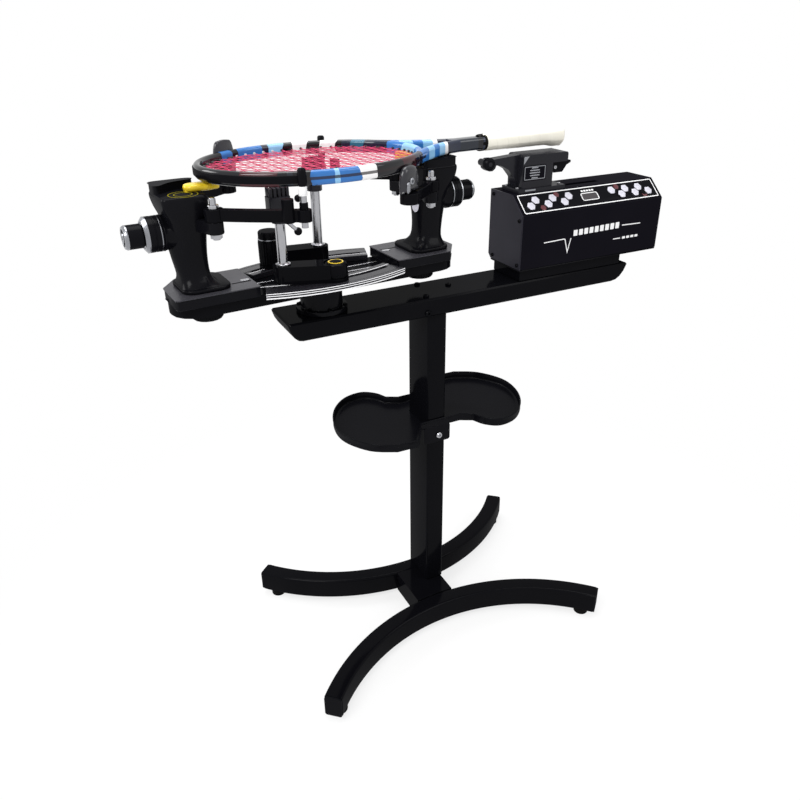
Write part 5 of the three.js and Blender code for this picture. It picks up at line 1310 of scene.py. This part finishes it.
keypad_left, keypad_right = (corner.x - CASE_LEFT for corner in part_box("keypad"))
edge = PANEL_LENGTH / 2 - 0.0036
panel_outline = rounds(keypad_left + 0.0006, keypad_right - 0.0006, -edge, edge, 0.0025)
window = rounds(WINDOW_X - 0.0195, WINDOW_X + 0.0195, -0.0095, 0.0075, 0.0042)
marks = [slab(mark, -PRINT_ROOT, PRINT_HEIGHT, place=on_panel)
         for mark in mark_row(5, 0.148, 0.0062, 0.0045, 0.0105, 0.014)]
add_piece("panel_print", joined(border(panel_outline, PRINT_WIDTH, -0.0006, PRINT_HEIGHT, on_panel),
                                border(window, 0.0015, -0.0006, 0.0005, on_panel), *marks),
          WHITE_PRINT, "base", "white_wrap")
keys, lights = [], []
for start, row, key_offsets, light_offsets in KEY_GROUPS:
    for i, offset in enumerate(key_offsets):
        keys.append(on_panel(start + offset, row * (-1) ** i * KEY_OFFSET, 0.0004))
    for i, offset in enumerate(light_offsets):
        lights.append(on_panel(start + offset, row * (-1) ** i * LIGHT_OFFSET, 0))
caps = studs(keys, panel_out, KEY_RADIUS, 0.0016, KEY_WHITE, sides=6, crown=0.9, recess=0.42, depth=0.2)
add_piece("key_caps", caps, KEY_WHITE, "base", "white_wrap")
reds = studs(lights, panel_out, LIGHT_RADIUS, 0.0009, LAMP_RED, sides=6, recess=0.7, depth=0.2)
add_piece("panel_lights", reds, LAMP_RED, "base", "dark_window")
print(len(keys), "keys and", len(lights), "lights")

# %% [markdown]
# ## The tension head
#
# The head is a dark grey casting. Its front carries a framed plate with a plain grille, a pale corner at the
# cap's left end, a bright strip along its foot, and screws.

# %% Tension head
GRILLE_X, BAR_HALF = 0.2205, 0.0011
GRILLE = [(0.904, 0.007), (0.8996, 0.0105), (0.8952, 0.0115), (0.8908, 0.0105), (0.8864, 0.007)]
CORNER = [(0.1962, 0.911), (0.2075, 0.9245), (0.1975, 0.9245), (0.1962, 0.923)]
HEAD_SCREWS = [(x, y, 0.8685) for y in (0.0335, 0.068) for x in (0.1905, 0.283)]
on_head = on_plane(0.0259, -1)
plate = slab(rounds(0.196, 0.2455, 0.8815, 0.9083, 0.0025), -0.0005, 0.001, 0.0004, on_head)
add_piece("head_plate", plate, CASE_BLACK, "tension_head", "dark_metal")
trim = [slab(rounds(GRILLE_X - half, GRILLE_X + half, z - BAR_HALF, z + BAR_HALF, 0.0009, 3),
             0.0008, 0.0018, 0.0003, on_head) for z, half in GRILLE]
trim += [border(rounds(0.198, 0.2435, 0.8835, 0.9068, 0.0015), 0.0013, 0.0006, 0.0014, on_head),
         slab(CORNER, -0.0004, 0.0004, place=on_head),
         slab(rounds(0.2, 0.223, 0.864, 0.8668, 0.0008), 0.0026, 0.0036, place=on_head)]
add_piece("head_trim", joined(*trim), SILVER, "tension_head", "bright_steel")
add_piece("head_screws", studs(HEAD_SCREWS, UP, 0.0032, 0.0028, STEEL), STEEL, "tension_head", "bright_steel")
lever_screw = studs([(0.2729, 0.0358, 0.8987)], (0, -1, 0), 0.0036, 0.003, STEEL)
add_piece("lever_screw", lever_screw, STEEL, "release_lever", "bright_steel")
print("tension head dressed")

# %% [markdown]
# ## Screws, vents and the power socket
#
# Sheet metal is held by screws, so each cover gets its own, facing out of the face that it holds. The back
# of the case has vents over the motor: a row of rods in a frame. The power socket has three pins and two
# screws.

# %% Screws
PIVOT_BOLTS, PIVOT_BOLT_REACH, PIVOT_BOLT_Z = 6, 0.04, 0.7133
turns = [pi / PIVOT_BOLTS * (1 + 2 * i) for i in range(PIVOT_BOLTS)]
fixings = [
    ("end_plate_screws", (-1, 0, 0), 0.0034,
     [(CASE_LEFT, y, z) for y, z in ((-0.006, 0.738), (0.076, 0.738), (-0.006, 0.82), (0.08, 0.853))]),
    ("back_screws", (0, 1, 0), 0.0034,
     [(x, CASE_BACK, z) for x in (0.186, 0.338, 0.49) for z in (0.745, 0.848)]),
    ("tray_bolt", (0, -1, 0), 0.0062, [(0.0119, -0.0046, 0.42)]),
    ("beam_bolt", (0, -1, 0), 0.0058, [(-0.0157, -0.0086, 0.679)]),
    ("beam_top_bolts", UP, 0.0055, [(0.0045, 0.072, 0.705), (0.0545, 0.0432, 0.705), (-0.012, 0.006, 0.705)]),
    ("pivot_bolts", UP, 0.0036, [(table_axis.x + PIVOT_BOLT_REACH * cos(a),
                                  table_axis.y + PIVOT_BOLT_REACH * sin(a), PIVOT_BOLT_Z) for a in turns]),
]
for name, facing, radius, places in fixings:
    finish = STEEL if name == "tray_bolt" else GLOSS_BLACK
    add_piece(name, studs(places, facing, radius, radius * 0.9, finish), finish, "base", "bright_steel")
print(sum(len(row[3]) for row in fixings), "fixings")

# %% Vents and socket
INLET_PINS = [(-0.007, -0.002), (0, 0.003), (0.007, -0.002)]
VENT_BARS, VENT_X, VENT_LOW, VENT_PITCH = 9, 0.252, 0.775, 0.0062
bars = [(VENT_X, CASE_BACK, VENT_LOW + VENT_PITCH * i) for i in range(VENT_BARS)]
vents = rods(bars, 0.0019, 0.092, CASE_BLACK, 12, (0, pi / 2, 0))
vent_frame = border(rounds(0.201, 0.303, 0.767, 0.832, 0.006), 0.003, -0.0005, 0.0016, on_plane(CASE_BACK, 1))
add_piece("back_vents", joined(vents, vent_frame), CASE_BLACK, "base", "gloss_black_paint")
inlet_low, inlet_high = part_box("power_inlet")
inlet_x, inlet_z = (inlet_low.x + inlet_high.x) / 2, (inlet_low.z + inlet_high.z) / 2
pins = [slab([(inlet_x + x + a, inlet_z + z + b) for a, b in rounded(0.002, 0.0044, 0.0005, 2)],
             -0.014, -0.004, place=on_plane(inlet_high.y, 1)) for x, z in INLET_PINS]
add_piece("inlet_pins", joined(*pins), STEEL, "base", "bright_steel")
inlet_screws = studs([(x, inlet_high.y, inlet_z) for x in (inlet_low.x + 0.004, inlet_high.x - 0.004)],
                     (0, 1, 0), 0.0022, 0.002, STEEL)
add_piece("inlet_screws", inlet_screws, STEEL, "base", "bright_steel")
print("vents and socket")

# %% [markdown]
# ## Light, floor and background
#
# Four large soft lamps light the machine from above and the sides, at a level where a colour renders about
# as it is written. The white background is only a colour: the world and the floor show white to the camera
# and to reflections, and the floor keeps a soft shadow.

# %% Studio
LOOK_AT = Vector((0, 0, 0.6))
LAMPS = [("key_lamp", (-2.2, -1.4, 2.9), 1.5, 70), ("fill_lamp", (2.0, -2.1, 3.0), 2.0, 38),
         ("top_lamp", (0.1, 0.5, 3.2), 1.8, 52), ("edge_lamp", (-2.4, 1.4, 1.9), 1.2, 30)]
FLOOR_SIZE, FLOOR_Z, SHADOW_NEAR, SHADOW_FAR, SHADOW_SHARE = 12, -0.0005, 0.35, 1.0, 0.25
for name, place, size, power in LAMPS:
    lamp = put(name, bpy.data.lights.new(name, "AREA"))
    lamp.data.size, lamp.data.energy, lamp.location = size, power, place
    lamp.rotation_euler = (LOOK_AT - Vector(place)).to_track_quat("-Z", "Y").to_euler()


def seen_directly(make):
    """1 for what the camera, a reflection or glass sees, and 0 for light on a surface."""
    rays = make("ShaderNodeLightPath", out="Is Camera Ray")
    return (rays + rays.output("Is Glossy Ray") + rays.output("Is Transmission Ray")) > 0.5


world = bpy.data.worlds.new("white_room")
bpy.context.scene.world = world
world.use_nodes = True
seen = seen_directly(node_maker(world.node_tree))
backdrop = world.node_tree.nodes["Background"]
world.node_tree.links.new((0.5 + seen * 0.5).socket, backdrop.inputs["Strength"])
backdrop.inputs["Color"].default_value = (1, 1, 1, 1)

corners = [(x * FLOOR_SIZE, y * FLOOR_SIZE, FLOOR_Z) for x, y in ((-1, -1), (1, -1), (1, 1), (-1, 1))]
floor = put("floor", bpy.data.meshes.new("floor"))
floor.data.from_pydata(corners, [], [(0, 1, 2, 3)])
paper = Finish("white_paper", base=(0.92, 0.92, 0.92), roughness=0.9, specular=0.0)
make = paper.make
distance = make("ShaderNodeVectorMath", {0: paper.place}, out="Value", operation="LENGTH")
away = make("ShaderNodeMapRange", {0: distance, 1: SHADOW_NEAR, 2: SHADOW_FAR, 3: 1 - SHADOW_SHARE, 4: 1.0},
            interpolation_type="SMOOTHSTEP")
glow = make("ShaderNodeEmission", {"Color": (1, 1, 1, 1), "Strength": 1.0})
mixed = make("ShaderNodeMixShader",
             {0: seen_directly(make) * away, 1: Link(make, paper.shader.outputs[0]), 2: glow})
tree = paper.material.node_tree
tree.links.new(mixed.socket, tree.nodes["Material Output"].inputs["Surface"])
floor.data.materials.append(paper.material)
print("studio with a floor of", 2 * FLOOR_SIZE, "m")
